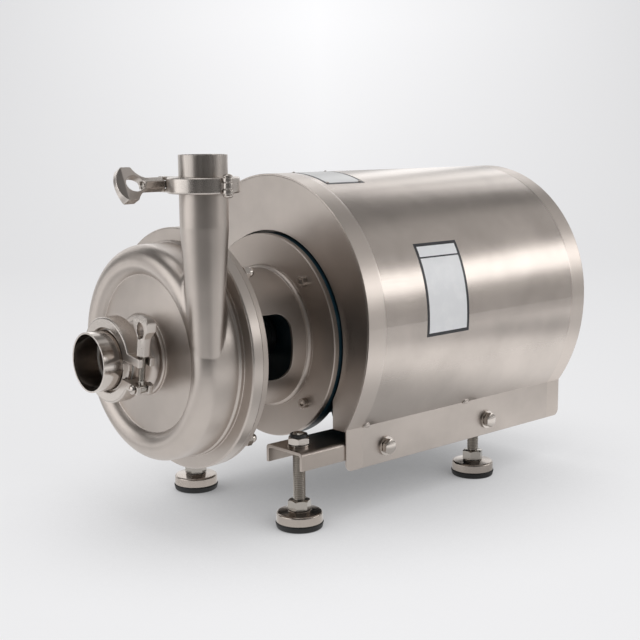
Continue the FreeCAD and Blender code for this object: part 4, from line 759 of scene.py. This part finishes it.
@dataclass
class NodeDressing:
    """Finishes of the CAD nodes that stay in view or inside."""

    cast_parts: tuple[str, ...] = ("_clamp_fixed_half", "_clamp_swing_half", "_wing_nut")

    def dress(self, finish: Finish, nodes: Iterable[str]) -> None:
        """Lay a finish on CAD nodes.

        Args:
            finish: Finish that the nodes get.
            nodes: Names of the nodes.
        """
        material = material_of(finish)
        for name in nodes:
            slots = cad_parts[name].data.materials
            slots.clear()
            slots.append(material)
            LOG.info("dressed %s with %s", name, finish.name)

    def build(self) -> None:
        """Lay a finish on every CAD node."""
        plan = [
            (FINISHES.cast, ["volute_casing"]),
            (FINISHES.flange, ["back_cover", "impeller", "impeller_nut"]),
            (FINISHES.adapter, ["motor_adapter"]),
            (FINISHES.wrap, ["cover_wrap"]),
            (FINISHES.plate, ["cover_front_plate", "cover_rear_plate"]),
            (FINISHES.rail, ["base_rail_near", "base_rail_far"]),
            (FINISHES.clamp, [port.value + part for port in Port for part in self.cast_parts]),
            (FINISHES.pipe_x, ["suction_ferrule"]),
            (FINISHES.pipe_z_shaded, ["discharge_ferrule"]),
            (FINISHES.fastener, ["casing_acorn_nuts", "casing_studs", "adapter_screws",
                                 "cover_bolts", "cover_washers", "foot_washers",
                                 "foot_lock_nuts", "motor_foot_bolts"]),
            (FINISHES.fastener, [port.value + part for port in Port
                                 for part in ("_clamp_pins", "_swing_bolt")]),
            (FINISHES.thread, ["foot_stem_" + corner.value for corner in Corner]),
            (FINISHES.cup, ["foot_cup_" + corner.value for corner in Corner]),
            (FINISHES.rubber, ["foot_pad_" + corner.value for corner in Corner]),
            (FINISHES.rubber, ["shaft_slinger"]),
            (FINISHES.gasket, ["suction_gasket", "discharge_gasket", "casing_seal_ring"]),
            (FINISHES.carbon, ["seal_stationary_ring", "seal_rotating_ring", "seal_bellows"]),
            (FINISHES.steel, ["pump_shaft", "seal_drive_collar", "motor_rotor",
                              "motor_bearings"]),
            (FINISHES.paint, ["motor_flange_shield", "motor_frame", "motor_rear_shield",
                              "fan_cover", "terminal_box"]),
            (FINISHES.winding, ["motor_stator"]),
            (FINISHES.fan, ["motor_fan"]),
        ]
        for finish, nodes in plan:
            self.dress(finish, nodes)


@dataclass
class LevellingFeet:
    """Threaded stems and lock nuts of the four feet. A tip is its bevel across and along."""

    flats: float = 19.0
    hexagon_height: float = 10.0
    stem_radius: float = 6.0
    pitch: float = 1.75
    thread_depth: float = 0.95
    ring_height: float = 3.2
    ring_share: float = 0.45
    nut_turn: float = 18.0
    bore_gap: float = 0.1
    overlap: float = 1.0
    core_gap: float = 0.05
    tip: Span = (0.5, 0.4)
    thread_ends: Span = (1.2, 0.7)

    def stem(self, corner: Corner) -> None:
        """One stem with its hexagon, in place of the plain one.

        Args:
            corner: Corner where its foot stands.
        """
        node = "foot_stem_" + corner.value
        low, high = extent(node)
        form = Form()
        with form.at(Matrix.Translation((middle(node).x, middle(node).y, 0.0))):
            form.hexagon(self.flats, low.z, low.z + self.hexagon_height)
            neck = low.z + self.hexagon_height
            core = self.stem_radius - self.thread_depth
            shank = core + self.core_gap
            form.lathe([(0.0, neck - self.overlap), (shank, neck - self.overlap),
                        (shank, high.z - self.tip[1]), (core - self.tip[0], high.z),
                        (0.0, high.z)], 32)
            form.thread(self.stem_radius, self.thread_depth, self.pitch,
                        neck + self.thread_ends[0], high.z - self.thread_ends[1])
        piece = form.piece(node + "_threaded", "foot_" + corner.value, FINISHES.thread)
        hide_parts(node)

    def nuts(self) -> None:
        """Lock nuts with their dark rings, in place of the plain nuts."""
        low, high = extent("foot_lock_nuts")
        nuts, rings = Form(), Form()
        shoulder = high.z - self.ring_height
        bore = self.stem_radius + self.bore_gap
        collar = self.flats * self.ring_share
        ring = [(bore, shoulder + 0.02), (collar, shoulder + 0.02), (collar, shoulder + 0.9),
                (collar - 0.5, high.z - 0.5), (collar - 1.6, high.z - 0.05),
                (bore + 0.9, high.z - 0.05), (bore, high.z - 0.7)]
        for corner in Corner:
            centre = middle("foot_stem_" + corner.value)
            place = Matrix.Translation((centre.x, centre.y, 0.0))
            with nuts.at(place @ turned(self.nut_turn, Axis.Z)):
                nuts.hexagon(self.flats, low.z, shoulder, bore)
            with rings.at(place):
                rings.lathe(ring, 48, closed=True)
        piece = nuts.piece("foot_lock_nuts_chamfered", "pump_unit", FINISHES.fastener)
        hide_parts("foot_lock_nuts")
        rings.piece("foot_lock_rings", "pump_unit", FINISHES.nylon)

    def build(self) -> None:
        """Make the stems and the nuts."""
        for corner in Corner:
            self.stem(corner)
        self.nuts()


@dataclass
class SwingBolts:
    """Threaded swing bolts of the two clamps. A tip is its bevel across and along."""

    radius: float = 3.0
    depth: float = 0.5
    pitch: float = 1.0
    eye_radius: float = 4.5
    eye_width: float = 6.3
    eye_bevel: float = 0.5
    pin_radius: float = 2.05
    neck_length: float = 2.5
    neck_taper: float = 0.5
    start_gap: float = 0.8
    shank_gap: float = 0.1
    core_gap: float = 0.05
    tip: Span = (0.5, 0.3)
    thread_ends: Span = (0.6, 0.5)
    suction_turn: float = 9.0

    def bolt(self, port: Port, eye: Vector, tip: Vector) -> None:
        """One bolt from its eye to its tip, in place of the plain one.

        Args:
            port: Joint that the bolt closes.
            eye: Middle of the eye in millimetres.
            tip: Middle of the tip in millimetres.
        """
        length = (tip - eye).length
        core = self.radius - self.depth
        inner = core + self.core_gap
        shank = self.radius - self.shank_gap
        width = self.eye_width / 2
        flank = width - self.eye_bevel
        rim = self.eye_radius - self.eye_bevel
        start = self.pin_radius + self.start_gap
        neck = self.eye_radius + self.neck_length
        away = (tip - eye).normalized()
        across = Vector((0.0, 0.0, 1.0)) if abs(away.z) < 0.5 else Vector((1.0, 0.0, 0.0))
        side = across.cross(away)
        turn = Matrix((side, across, away)).transposed().to_4x4()
        form = Form()
        with form.at(Matrix.Translation(eye) @ turn):
            with form.at(turned(90.0, Axis.X)):
                form.lathe([(self.pin_radius, -width), (rim, -width), (self.eye_radius, -flank),
                            (self.eye_radius, flank), (rim, width), (self.pin_radius, width)],
                           40, closed=True)
            form.lathe([(0.0, start), (shank, start), (shank, neck),
                        (inner, neck + self.neck_taper), (inner, length - self.tip[1]),
                        (core - self.tip[0], length), (0.0, length)], 32)
            form.thread(self.radius, self.depth, self.pitch, neck + self.thread_ends[0],
                        length - self.thread_ends[1])
        name = port.value + "_swing_bolt"
        piece = form.piece(name + "_threaded", port.value + "_bolt", FINISHES.thread)
        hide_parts(name)

    def build(self) -> None:
        """Make both bolts."""
        low, high = extent("discharge_swing_bolt")
        centre = (low + high) / 2
        self.bolt(Port.DISCHARGE, Vector((high.x - self.eye_radius, centre.y, centre.z)),
                  Vector((low.x, centre.y, centre.z)))
        low, high = extent("suction_swing_bolt")
        turn = math.radians(self.suction_turn)
        eye = Vector(((low.x + high.x) / 2, high.y - self.eye_radius, low.z + self.eye_radius))
        reach = (high.z - eye.z - self.radius * math.sin(turn)) / math.cos(turn)
        away = Vector((0.0, -math.sin(turn), math.cos(turn)))
        self.bolt(Port.SUCTION, eye, eye + away * reach)


@dataclass
class AcornNuts:
    """Chamfered acorn nuts behind the casing flange."""

    flats: float = 11.0
    hexagon_height: float = 6.0
    bore: float = 3.2
    dome_share: float = 0.42
    dome_steps: int = 9
    overlap: float = 0.6

    def build(self) -> None:
        """Make four nuts, in place of the plain ones."""
        low, high = extent("casing_acorn_nuts")
        centre = (low + high) / 2
        corner = self.flats / 2 / math.cos(math.radians(30))
        top = high.x - low.x
        reach_y = (high.y - low.y) / 2 - self.flats / 2
        reach_z = (high.z - low.z) / 2 - corner
        dome = self.flats * self.dome_share
        section = [(0.0, top)]
        for step in range(1, self.dome_steps + 1):
            turn = math.pi / 2 * step / self.dome_steps
            section.append((dome * math.sin(turn), top - dome * (1 - math.cos(turn))))
        root = self.hexagon_height - self.overlap
        section += [(dome, root), (self.bore, root)]
        form = Form()
        for side in (-1, 1):
            for up in (-1, 1):
                place = Matrix.Translation((low.x, centre.y + reach_y * side,
                                            centre.z + reach_z * up))
                with form.at(place @ turned(90.0, Axis.Y)):
                    form.hexagon(self.flats, 0.0, self.hexagon_height, self.bore)
                    form.lathe(section, 40)
        piece = form.piece("casing_acorn_nuts_domed", "pump_unit", FINISHES.fastener)
        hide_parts("casing_acorn_nuts")


@dataclass
class CastParts:
    """Clamp halves and wing nuts with the soft edges of investment castings."""

    merge: float = 0.001
    voxel: float = 0.45
    rounds: int = 3
    softness: float = 0.5

    def soften(self, node: str, body: str) -> None:
        """A remeshed and smoothed copy of a CAD node, in its place.

        Args:
            node: Name of the node.
            body: CAD body that carries it.
        """
        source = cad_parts[node]
        bm = bmesh.new()
        bm.from_mesh(source.data)
        bm.transform(source.matrix_world)
        bmesh.ops.remove_doubles(bm, verts=bm.verts, dist=self.merge * MM)
        bmesh.ops.recalc_face_normals(bm, faces=bm.faces)
        mesh = bpy.data.meshes.new(node + "_draft")
        bm.to_mesh(mesh)
        bm.free()
        draft = linked(node + "_draft", mesh)
        remesh = draft.modifiers.new("Remesh", "REMESH")
        remesh.mode = "VOXEL"
        remesh.voxel_size = self.voxel * MM
        remesh.use_smooth_shade = True
        smooth = draft.modifiers.new("Smooth", "SMOOTH")
        smooth.factor = self.softness
        smooth.iterations = self.rounds
        graph = bpy.context.evaluated_depsgraph_get()
        cast = bpy.data.meshes.new_from_object(draft.evaluated_get(graph))
        bpy.data.objects.remove(draft)
        cast.name = node + "_cast"
        cast.materials.clear()
        cast.materials.append(material_of(FINISHES.clamp))
        piece = linked(node + "_cast", cast)
        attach(piece, body)
        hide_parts(node)
        LOG.info("softened %s: %d faces", node, len(cast.polygons))

    def build(self) -> None:
        """Soften the cast parts of both joints."""
        for port in Port:
            self.soften(port.value + "_clamp_fixed_half", "pump_unit")
            self.soften(port.value + "_clamp_swing_half", port.value + "_swing_half")
            self.soften(port.value + "_wing_nut", port.value + "_nut")


@dataclass
class PinHeads:
    """Domed heads on both ends of the clamps' pins, bevelled across and along underneath."""

    radius: float = 4.2
    height: float = 2.4
    pin_radius: float = 3.2
    sink: float = 0.4
    under_bevel: Span = (0.4, 0.3)
    dome_step: int = 15

    def port(self, port: Port, axis: Axis) -> None:
        """Heads of one clamp.

        Args:
            port: Joint that the clamp holds.
            axis: Direction of its pins.
        """
        low, high = extent(port.value + "_clamp_pins")
        lying = turned(90.0, Axis.Y) if axis is Axis.X else Matrix.Identity(4)
        inset, under = self.under_bevel
        section = [(0.0, -under), (self.radius - inset, -under), (self.radius, 0.0)]
        for turn in map(math.radians, range(self.dome_step, 90, self.dome_step)):
            section.append((self.radius * math.cos(turn), self.height * math.sin(turn)))
        section.append((0.0, self.height))
        form = Form()
        for corner, inward in ((low, self.pin_radius), (high, -self.pin_radius)):
            for end, side in ((low, -1), (high, 1)):
                point = corner + Vector((inward, inward, inward))
                point[axis.value] = end[axis.value] - self.sink * side
                place = Matrix.Translation(point) @ lying
                with form.at(place @ turned(180.0, Axis.X) if side < 0 else place):
                    form.lathe(section, 40)
        form.piece(port.value + "_pin_heads", "pump_unit", FINISHES.fastener)

    def build(self) -> None:
        """Make the heads of both clamps."""
        self.port(Port.DISCHARGE, Axis.Z)
        self.port(Port.SUCTION, Axis.X)


@dataclass
class CoverHardware:
    """Hexagon bolts that hold the cover to the rails, with their nuts behind the grip."""

    flats: float = 13.0
    head_height: float = 5.3
    head_foot: float = 0.35
    collar_share: float = 0.46
    collar_heights: Span = (0.02, 0.5)
    shank_radius: float = 4.0
    washer: float = 2.0
    sheet: float = 1.5
    rail: float = 3.0
    nut_depths: Span = (6.2, 0.15)
    tip: float = 9.0
    tip_bevel: float = 0.7
    shank_top: float = 0.1

    def build(self) -> None:
        """Make four bolts with their inner nuts, in place of the plain ones."""
        high = extent("cover_bolts")[1]
        front, rear = extent("cover_washers")
        inset = (rear.z - front.z) / 2
        head = high.y - self.head_height
        grip = self.washer + self.sheet + self.rail
        collar = self.flats * self.collar_share
        foot, top = self.collar_heights
        nut_low, nut_high = (-grip - depth for depth in self.nut_depths)
        end = -grip - self.tip
        form = Form()
        for x in (front.x + inset, rear.x - inset):
            for side in (-1, 1):
                place = Matrix.Translation((x, head * side, (front.z + rear.z) / 2))
                with form.at(place @ turned(-90.0 * side, Axis.X)):
                    form.hexagon(self.flats, self.head_foot, self.head_height)
                    form.lathe([(0.0, foot), (collar, foot), (collar, top), (0.0, top)], 48)
                    form.hexagon(self.flats, nut_low, nut_high)
                    form.lathe([(0.0, end), (self.shank_radius - self.tip_bevel, end),
                                (self.shank_radius, end + self.tip_bevel),
                                (self.shank_radius, self.shank_top), (0.0, self.shank_top)], 32)
        piece = form.piece("cover_bolts_chamfered", "pump_unit", FINISHES.fastener)
        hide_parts("cover_bolts")


@dataclass
class CoverPlates:
    """Blank label, bare name plate and the gussets of the cover's folds."""

    radius: float = 137.0
    label_x: Span = (17.6, 77.1)
    label_angle: Span = (58.7, 96.6)
    label_divider: float = 64.5
    divider_share: float = 0.5
    plate_x: Span = (-31.0, 19.0)
    plate_angle: Span = (-2.4, 22.0)
    border: float = 3.2
    lift: float = 0.08
    ray_start: float = 1.5
    strip_step: float = 1.2
    rivet_inset: float = 4.0
    gusset_x: Span = (-34.0, 107.5)
    gusset_size: Point = (9.5, 10.0, 6.6)
    gusset_foot: float = 0.25
    sheet_thickness: float = 1.5
    fold_z: float = 90.0
    centre_z: float = field(init=False)
    sheet: BVHTree = field(init=False)

    def __post_init__(self) -> None:
        """Find the height of the arch's centre and take the sheet's own faces."""
        self.centre_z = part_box("cover_wrap")[1][2] / MM - self.radius
        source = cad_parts["cover_wrap"]
        bm = bmesh.new()
        bm.from_mesh(source.data)
        bm.transform(Matrix.Scale(1.0 / MM, 4) @ source.matrix_world)
        self.sheet = BVHTree.FromBMesh(bm)
        bm.free()

    def seat(self, x: float, angle: float) -> Vector:
        """A point just off the cover's outer face.

        Args:
            x: Its place along the shaft.
            angle: Degrees from the top towards the near side.

        Returns:
            The point in millimetres.
        """
        turn = math.radians(angle)
        out = Vector((0.0, -math.sin(turn), math.cos(turn)))
        axis = Vector((x, 0.0, self.centre_z))
        start = axis + out * self.radius * self.ray_start
        found, normal, _, _ = self.sheet.ray_cast(start, -out)
        if found is None:
            return axis + out * (self.radius + self.lift)
        return found + normal * self.lift

    def strip(self, form: Form, along: Span, angles: Span, number: int) -> None:
        """A thin sheet laid on the cover.

        Args:
            form: Mesh that takes it.
            along: Its ends along the shaft.
            angles: Its ends in degrees from the top towards the near side.
            number: Material number of its faces.
        """
        steps = max(1, math.ceil((angles[1] - angles[0]) / self.strip_step))
        grid = bmesh.ops.create_grid(form.bm, x_segments=1, y_segments=steps, size=0.5)["verts"]
        for vert in grid:
            angle = angles[0] + (vert.co.y + 0.5) * (angles[1] - angles[0])
            x = along[0] + (vert.co.x + 0.5) * (along[1] - along[0])
            vert.co = self.seat(x, angle)
        for face in {f for v in grid for f in v.link_faces}:
            face.material_index = number

    def framed(self, name: str, along: Span, angles: Span, finish: Finish,
               divider: float | None = None) -> None:
        """A bent plate with a dark border.

        Args:
            name: Name of the piece.
            along: Its ends along the shaft.
            angles: Its ends in degrees.
            finish: Finish of its face.
            divider: Angle of a cross line, or none.
        """
        form = Form()
        turn = math.degrees(self.border / self.radius)
        left, right = along[0] + self.border, along[1] - self.border
        lines = [angles[0], angles[0] + turn, angles[1] - turn, angles[1]]
        if divider is not None:
            lines[2:2] = [divider, divider + turn * self.divider_share]
        for i, span in enumerate(zip(lines, lines[1:])):
            self.strip(form, (left, right), span, (i + 1) % 2)
        self.strip(form, (along[0], left), angles, 1)
        self.strip(form, (right, along[1]), angles, 1)
        form.piece(name, "pump_unit", finish, [FINISHES.ink])

    def rivets(self) -> None:
        """Round rivets in the corners of the name plate."""
        form = Form()
        section = [(0.0, 0.0), (1.6, 0.0), (1.55, 0.35), (1.1, 0.75), (0.5, 0.92), (0.0, 0.95)]
        turn = math.degrees(self.rivet_inset / self.radius)
        for x in (self.plate_x[0] + self.rivet_inset, self.plate_x[1] - self.rivet_inset):
            for angle in (self.plate_angle[0] + turn, self.plate_angle[1] - turn):
                centre = Matrix.Translation((x, 0.0, self.centre_z))
                out = Matrix.Translation((0, 0, self.radius))
                with form.at(centre @ turned(angle, Axis.X) @ out):
                    form.lathe(section, 24)
        form.piece("name_plate_rivets", "pump_unit", FINISHES.fastener)

    def gussets(self) -> None:
        """Half round gussets pressed into the folds between the flanks and the side flanges."""
        form = Form()
        section = [(0.0, 0.0), (0.5, 0.0), (0.46, 0.25), (0.36, 0.36), (0.2, 0.42), (0.0, 0.44)]
        size = Matrix.Diagonal((*self.gusset_size, 1.0))
        half_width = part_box("base_rail_far")[1][1] / MM + self.sheet_thickness
        for x in self.gusset_x:
            for side in (-1, 1):
                place = Matrix.Translation((x, half_width * side, self.fold_z))
                with form.at(place @ turned(-90.0 * side, Axis.X) @ size):
                    form.lathe(section, 40)
        for vert in form.bm.verts:
            if vert.co.z < self.fold_z:
                vert.co.z = self.fold_z + (vert.co.z - self.fold_z) * self.gusset_foot
        form.piece("cover_fold_reliefs", "pump_unit", FINISHES.wrap)

    def build(self) -> None:
        """Make the label, the plate, its rivets and the gussets."""
        self.framed("blank_label", self.label_x, self.label_angle, FINISHES.film,
                    self.label_divider)
        self.framed("bare_name_plate", self.plate_x, self.plate_angle, FINISHES.plated)
        self.rivets()
        self.gussets()


@dataclass(frozen=True)
class SoftBox:
    """A rectangular lamp that faces the pump, with its place and size in metres."""

    name: str
    place: Point
    size: Span
    power: float
    mirrored: bool = True
    target: Point = (0.0, 0.0, 0.17)

    def build(self) -> None:
        """Set up the lamp."""
        data = bpy.data.lights.new(self.name, "AREA")
        data.shape = "RECTANGLE"
        data.size, data.size_y = self.size
        data.energy = self.power
        lamp = linked(self.name, data)
        lamp.visible_glossy = self.mirrored
        lamp.matrix_world = facing(self.place, self.target)


@dataclass
class Studio:
    """Pale sweep, soft boxes and the camera of the photograph."""

    camera_place: Point = (-0.7680, -0.8611, 0.3631)
    camera_target: Point = (0.0046, 0.0, 0.1746)
    camera_roll: float = -0.45
    focal_pixels: float = 1146.78
    frame_pixels: float = 640.0
    sensor: float = 36.0
    clip: Span = (0.01, 50.0)
    sweep_turn: float = -42.0
    floor_front: float = -0.85
    floor_left: float = 4.5
    floor_right: float = 0.80
    backdrop: float = 3.2
    backdrop_right: float = 2.3
    backdrop_top: float = 3.5
    bend: float = 1.2
    bend_steps: int = 12
    paper_tone: Colour = (0.80, 0.80, 0.80)
    seen_tone: Colour = (0.985, 0.985, 1.0)
    air_tone: Colour = (1.0, 0.985, 0.97)
    # Painted pool of light on the glow that the camera sees: brightest about this centre, fading
    # sideways and below it.
    glow: Span = (1.19, 0.735)
    glow_centre: Point = (0.0, 3.2, 0.75)
    glow_share: float = 0.80
    spread: Span = (0.06, 0.17)
    spread_heights: Span = (-0.75, 0.0)
    fall: float = -0.19
    fade_end: float = 0.30
    # Reach, darkest tone and end of the painted shadow that ambient occlusion lays on the glow.
    shadow_reach: float = 0.32
    shadow_tone: float = 0.22
    shadow_end: float = 0.86
    mirrored_glow: Span = (1.29, 1.95)
    mirrored_heights: Span = (-0.6, 0.6)
    surroundings: Span = (0.18, 0.54)
    lit_side: Point = (0.80, -0.33, 0.50)
    lit_range: Span = (0.2, 0.9)
    bars: Span = (0.50, 1.10)
    bar_range: Span = (0.40, 0.60)
    bar_scale: float = 3.4
    lamps: tuple[SoftBox, ...] = (
        SoftBox("key_right", (1.63, -1.42, 0.80), (1.9, 0.50), 5.7),
        SoftBox("fill_left", (-2.1, 0.75, 0.75), (2.4, 1.5), 15.5),
        SoftBox("top", (-0.5, 0.1, 2.2), (1.5, 1.2), 7.0),
        SoftBox("print_light", (-0.2, -1.7, 0.9), (0.8, 0.8), 10.0, mirrored=False),
    )

    def camera(self) -> None:
        """The photograph's camera."""
        data = bpy.data.cameras.new("camera")
        data.sensor_width = self.sensor
        data.lens = self.focal_pixels * self.sensor / self.frame_pixels
        data.clip_start, data.clip_end = self.clip
        camera = linked("camera", data)
        place = facing(self.camera_place, self.camera_target)
        camera.matrix_world = place @ turned(self.camera_roll, Axis.Z)
        bpy.context.scene.camera = camera

    def barred(self, graph: NodeGraph, level: Socket, place: Socket) -> Socket:
        """A light level with soft upright bars that read a place, for metal to mirror."""
        bars = graph.noise(place, self.bar_scale, 0.0)
        return graph.maths("MULTIPLY", level, graph.remap(bars, *self.bar_range, *self.bars))

    def sweep_material(self) -> bpy.types.Material:
        """Paper that glows for the camera and for reflections, with a painted pool of light and a
        painted shadow on the glow that the camera sees, and a real soft shadow on its diffuse
        share.

        Returns:
            The material.
        """
        graph = NodeGraph(bpy.data.materials.new("sweep_paper"))
        path = graph.add("ShaderNodeLightPath")
        camera = path.outputs["Is Camera Ray"]
        seen = graph.maths("MAXIMUM", camera, path.outputs["Is Glossy Ray"])
        # Painted pool of light: the glow that the camera sees is brightest at the backdrop's centre
        # and fades sideways and below it.
        x, _, z = graph.axes(tuple(part / MM for part in self.glow_centre))
        spread = graph.remap(z, *self.spread_heights, *self.spread)
        across = graph.maths("MULTIPLY", graph.maths("ABSOLUTE", x), spread)
        down = graph.maths("MULTIPLY", z, self.fall, clamp=True)
        fade = graph.maths("ADD", across, down)
        tone = graph.remap(fade, 0.0, self.fade_end, *self.glow)
        # Painted shadow: ambient occlusion darkens the glow that the camera sees near the pump.
        painted_shadow_ao = graph.add("ShaderNodeAmbientOcclusion", {"Distance": self.shadow_reach}, samples=16)
        shadow = graph.remap(painted_shadow_ao.outputs["AO"], 0.0, self.shadow_end, self.shadow_tone, 1.0)
        shown = graph.maths("MULTIPLY", graph.maths("MULTIPLY", tone, shadow), camera)
        mirrored = graph.remap(z, *self.mirrored_heights, *self.mirrored_glow)
        mirrored = self.barred(graph, mirrored, graph.place(ORIGIN, (1.0, 0.0, 0.0)))
        mirrored = graph.maths("MULTIPLY", mirrored, graph.maths("SUBTRACT", 1.0, camera))
        glow = graph.add("ShaderNodeEmission", {"Color": (1.0, 1.0, 1.0, 1.0),
                                                "Strength": mirrored})
        visible = graph.add("ShaderNodeEmission", {"Color": (*self.seen_tone, 1.0),
                                                   "Strength": shown})
        both = graph.add("ShaderNodeAddShader", {0: glow.outputs[0], 1: visible.outputs[0]})
        paper = graph.add("ShaderNodeBsdfDiffuse", {"Color": (*self.paper_tone, 1.0)})
        mixed = graph.add("ShaderNodeMixShader", {
            0: graph.maths("MULTIPLY", seen, self.glow_share),
            1: paper.outputs[0],
            2: both.outputs[0],
        })
        graph.add("ShaderNodeOutputMaterial", {"Surface": mixed.outputs[0]})
        return graph.owner

    def sweep(self) -> None:
        """Floor that curves up into a backdrop behind the pump and ends short on its right."""
        bm = bmesh.new()
        flat = self.backdrop - self.bend
        section = [(self.floor_front, 0.0), (flat, 0.0)]
        for i in range(1, self.bend_steps + 1):
            turn = math.pi / 2 * i / self.bend_steps
            section.append((flat + self.bend * math.sin(turn),
                            self.bend - self.bend * math.cos(turn)))
        section.append((self.backdrop, self.backdrop_top))
        rows = []
        for y, z in section:
            share = (y - self.floor_front) / (self.backdrop - self.floor_front)
            right = self.floor_right + (self.backdrop_right - self.floor_right) * share
            rows.append((bm.verts.new((-self.floor_left, y, z)), bm.verts.new((right, y, z))))
        for (left, right), (next_left, next_right) in zip(rows, rows[1:]):
            bm.faces.new((left, right, next_right, next_left)).smooth = True
        mesh = bpy.data.meshes.new("studio_sweep")
        bm.to_mesh(mesh)
        bm.free()
        mesh.materials.append(self.sweep_material())
        sweep = linked("studio_sweep", mesh)
        sweep.matrix_world = turned(self.sweep_turn, Axis.Z)

    def world(self) -> None:
        """Dim surroundings that are paler on the lamp's side, and pale where the camera looks."""
        world = bpy.data.worlds.new("studio_world")
        bpy.context.scene.world = world
        graph = NodeGraph(world)
        source = graph.add("ShaderNodeTexCoord").outputs["Generated"]
        side = graph.vectors("DOT_PRODUCT", source, self.lit_side).outputs["Value"]
        level = graph.remap(side, *self.lit_range, *self.surroundings, "SMOOTHSTEP")
        upright = graph.vectors("MULTIPLY", source, (1.0, 1.0, 0.0)).outputs[0]
        level = self.barred(graph, level, upright)
        camera = graph.add("ShaderNodeLightPath").outputs["Is Camera Ray"]
        strength = graph.add("ShaderNodeMix", {0: camera, 2: level, 3: self.glow[1]}).outputs[0]
        air = graph.add("ShaderNodeBackground", {0: (*self.air_tone, 1.0), 1: strength})
        graph.add("ShaderNodeOutputWorld", {0: air.outputs[0]})

    def build(self) -> None:
        """Set up the camera, the sweep, the world and the lamps."""
        bpy.context.scene.view_settings.view_transform = "Standard"
        self.camera()
        self.sweep()
        self.world()
        for lamp in self.lamps:
            lamp.build()


def main() -> None:
    """Dress the nodes, make the pieces in order and set the stage."""
    logging.basicConfig(level=logging.INFO, format="%(name)s %(message)s")
    for assembly in (NodeDressing, LevellingFeet, SwingBolts, AcornNuts, CastParts, PinHeads,
                     CoverHardware, CoverPlates, Studio):
        assembly().build()


if __name__ == "__main__":
    main()
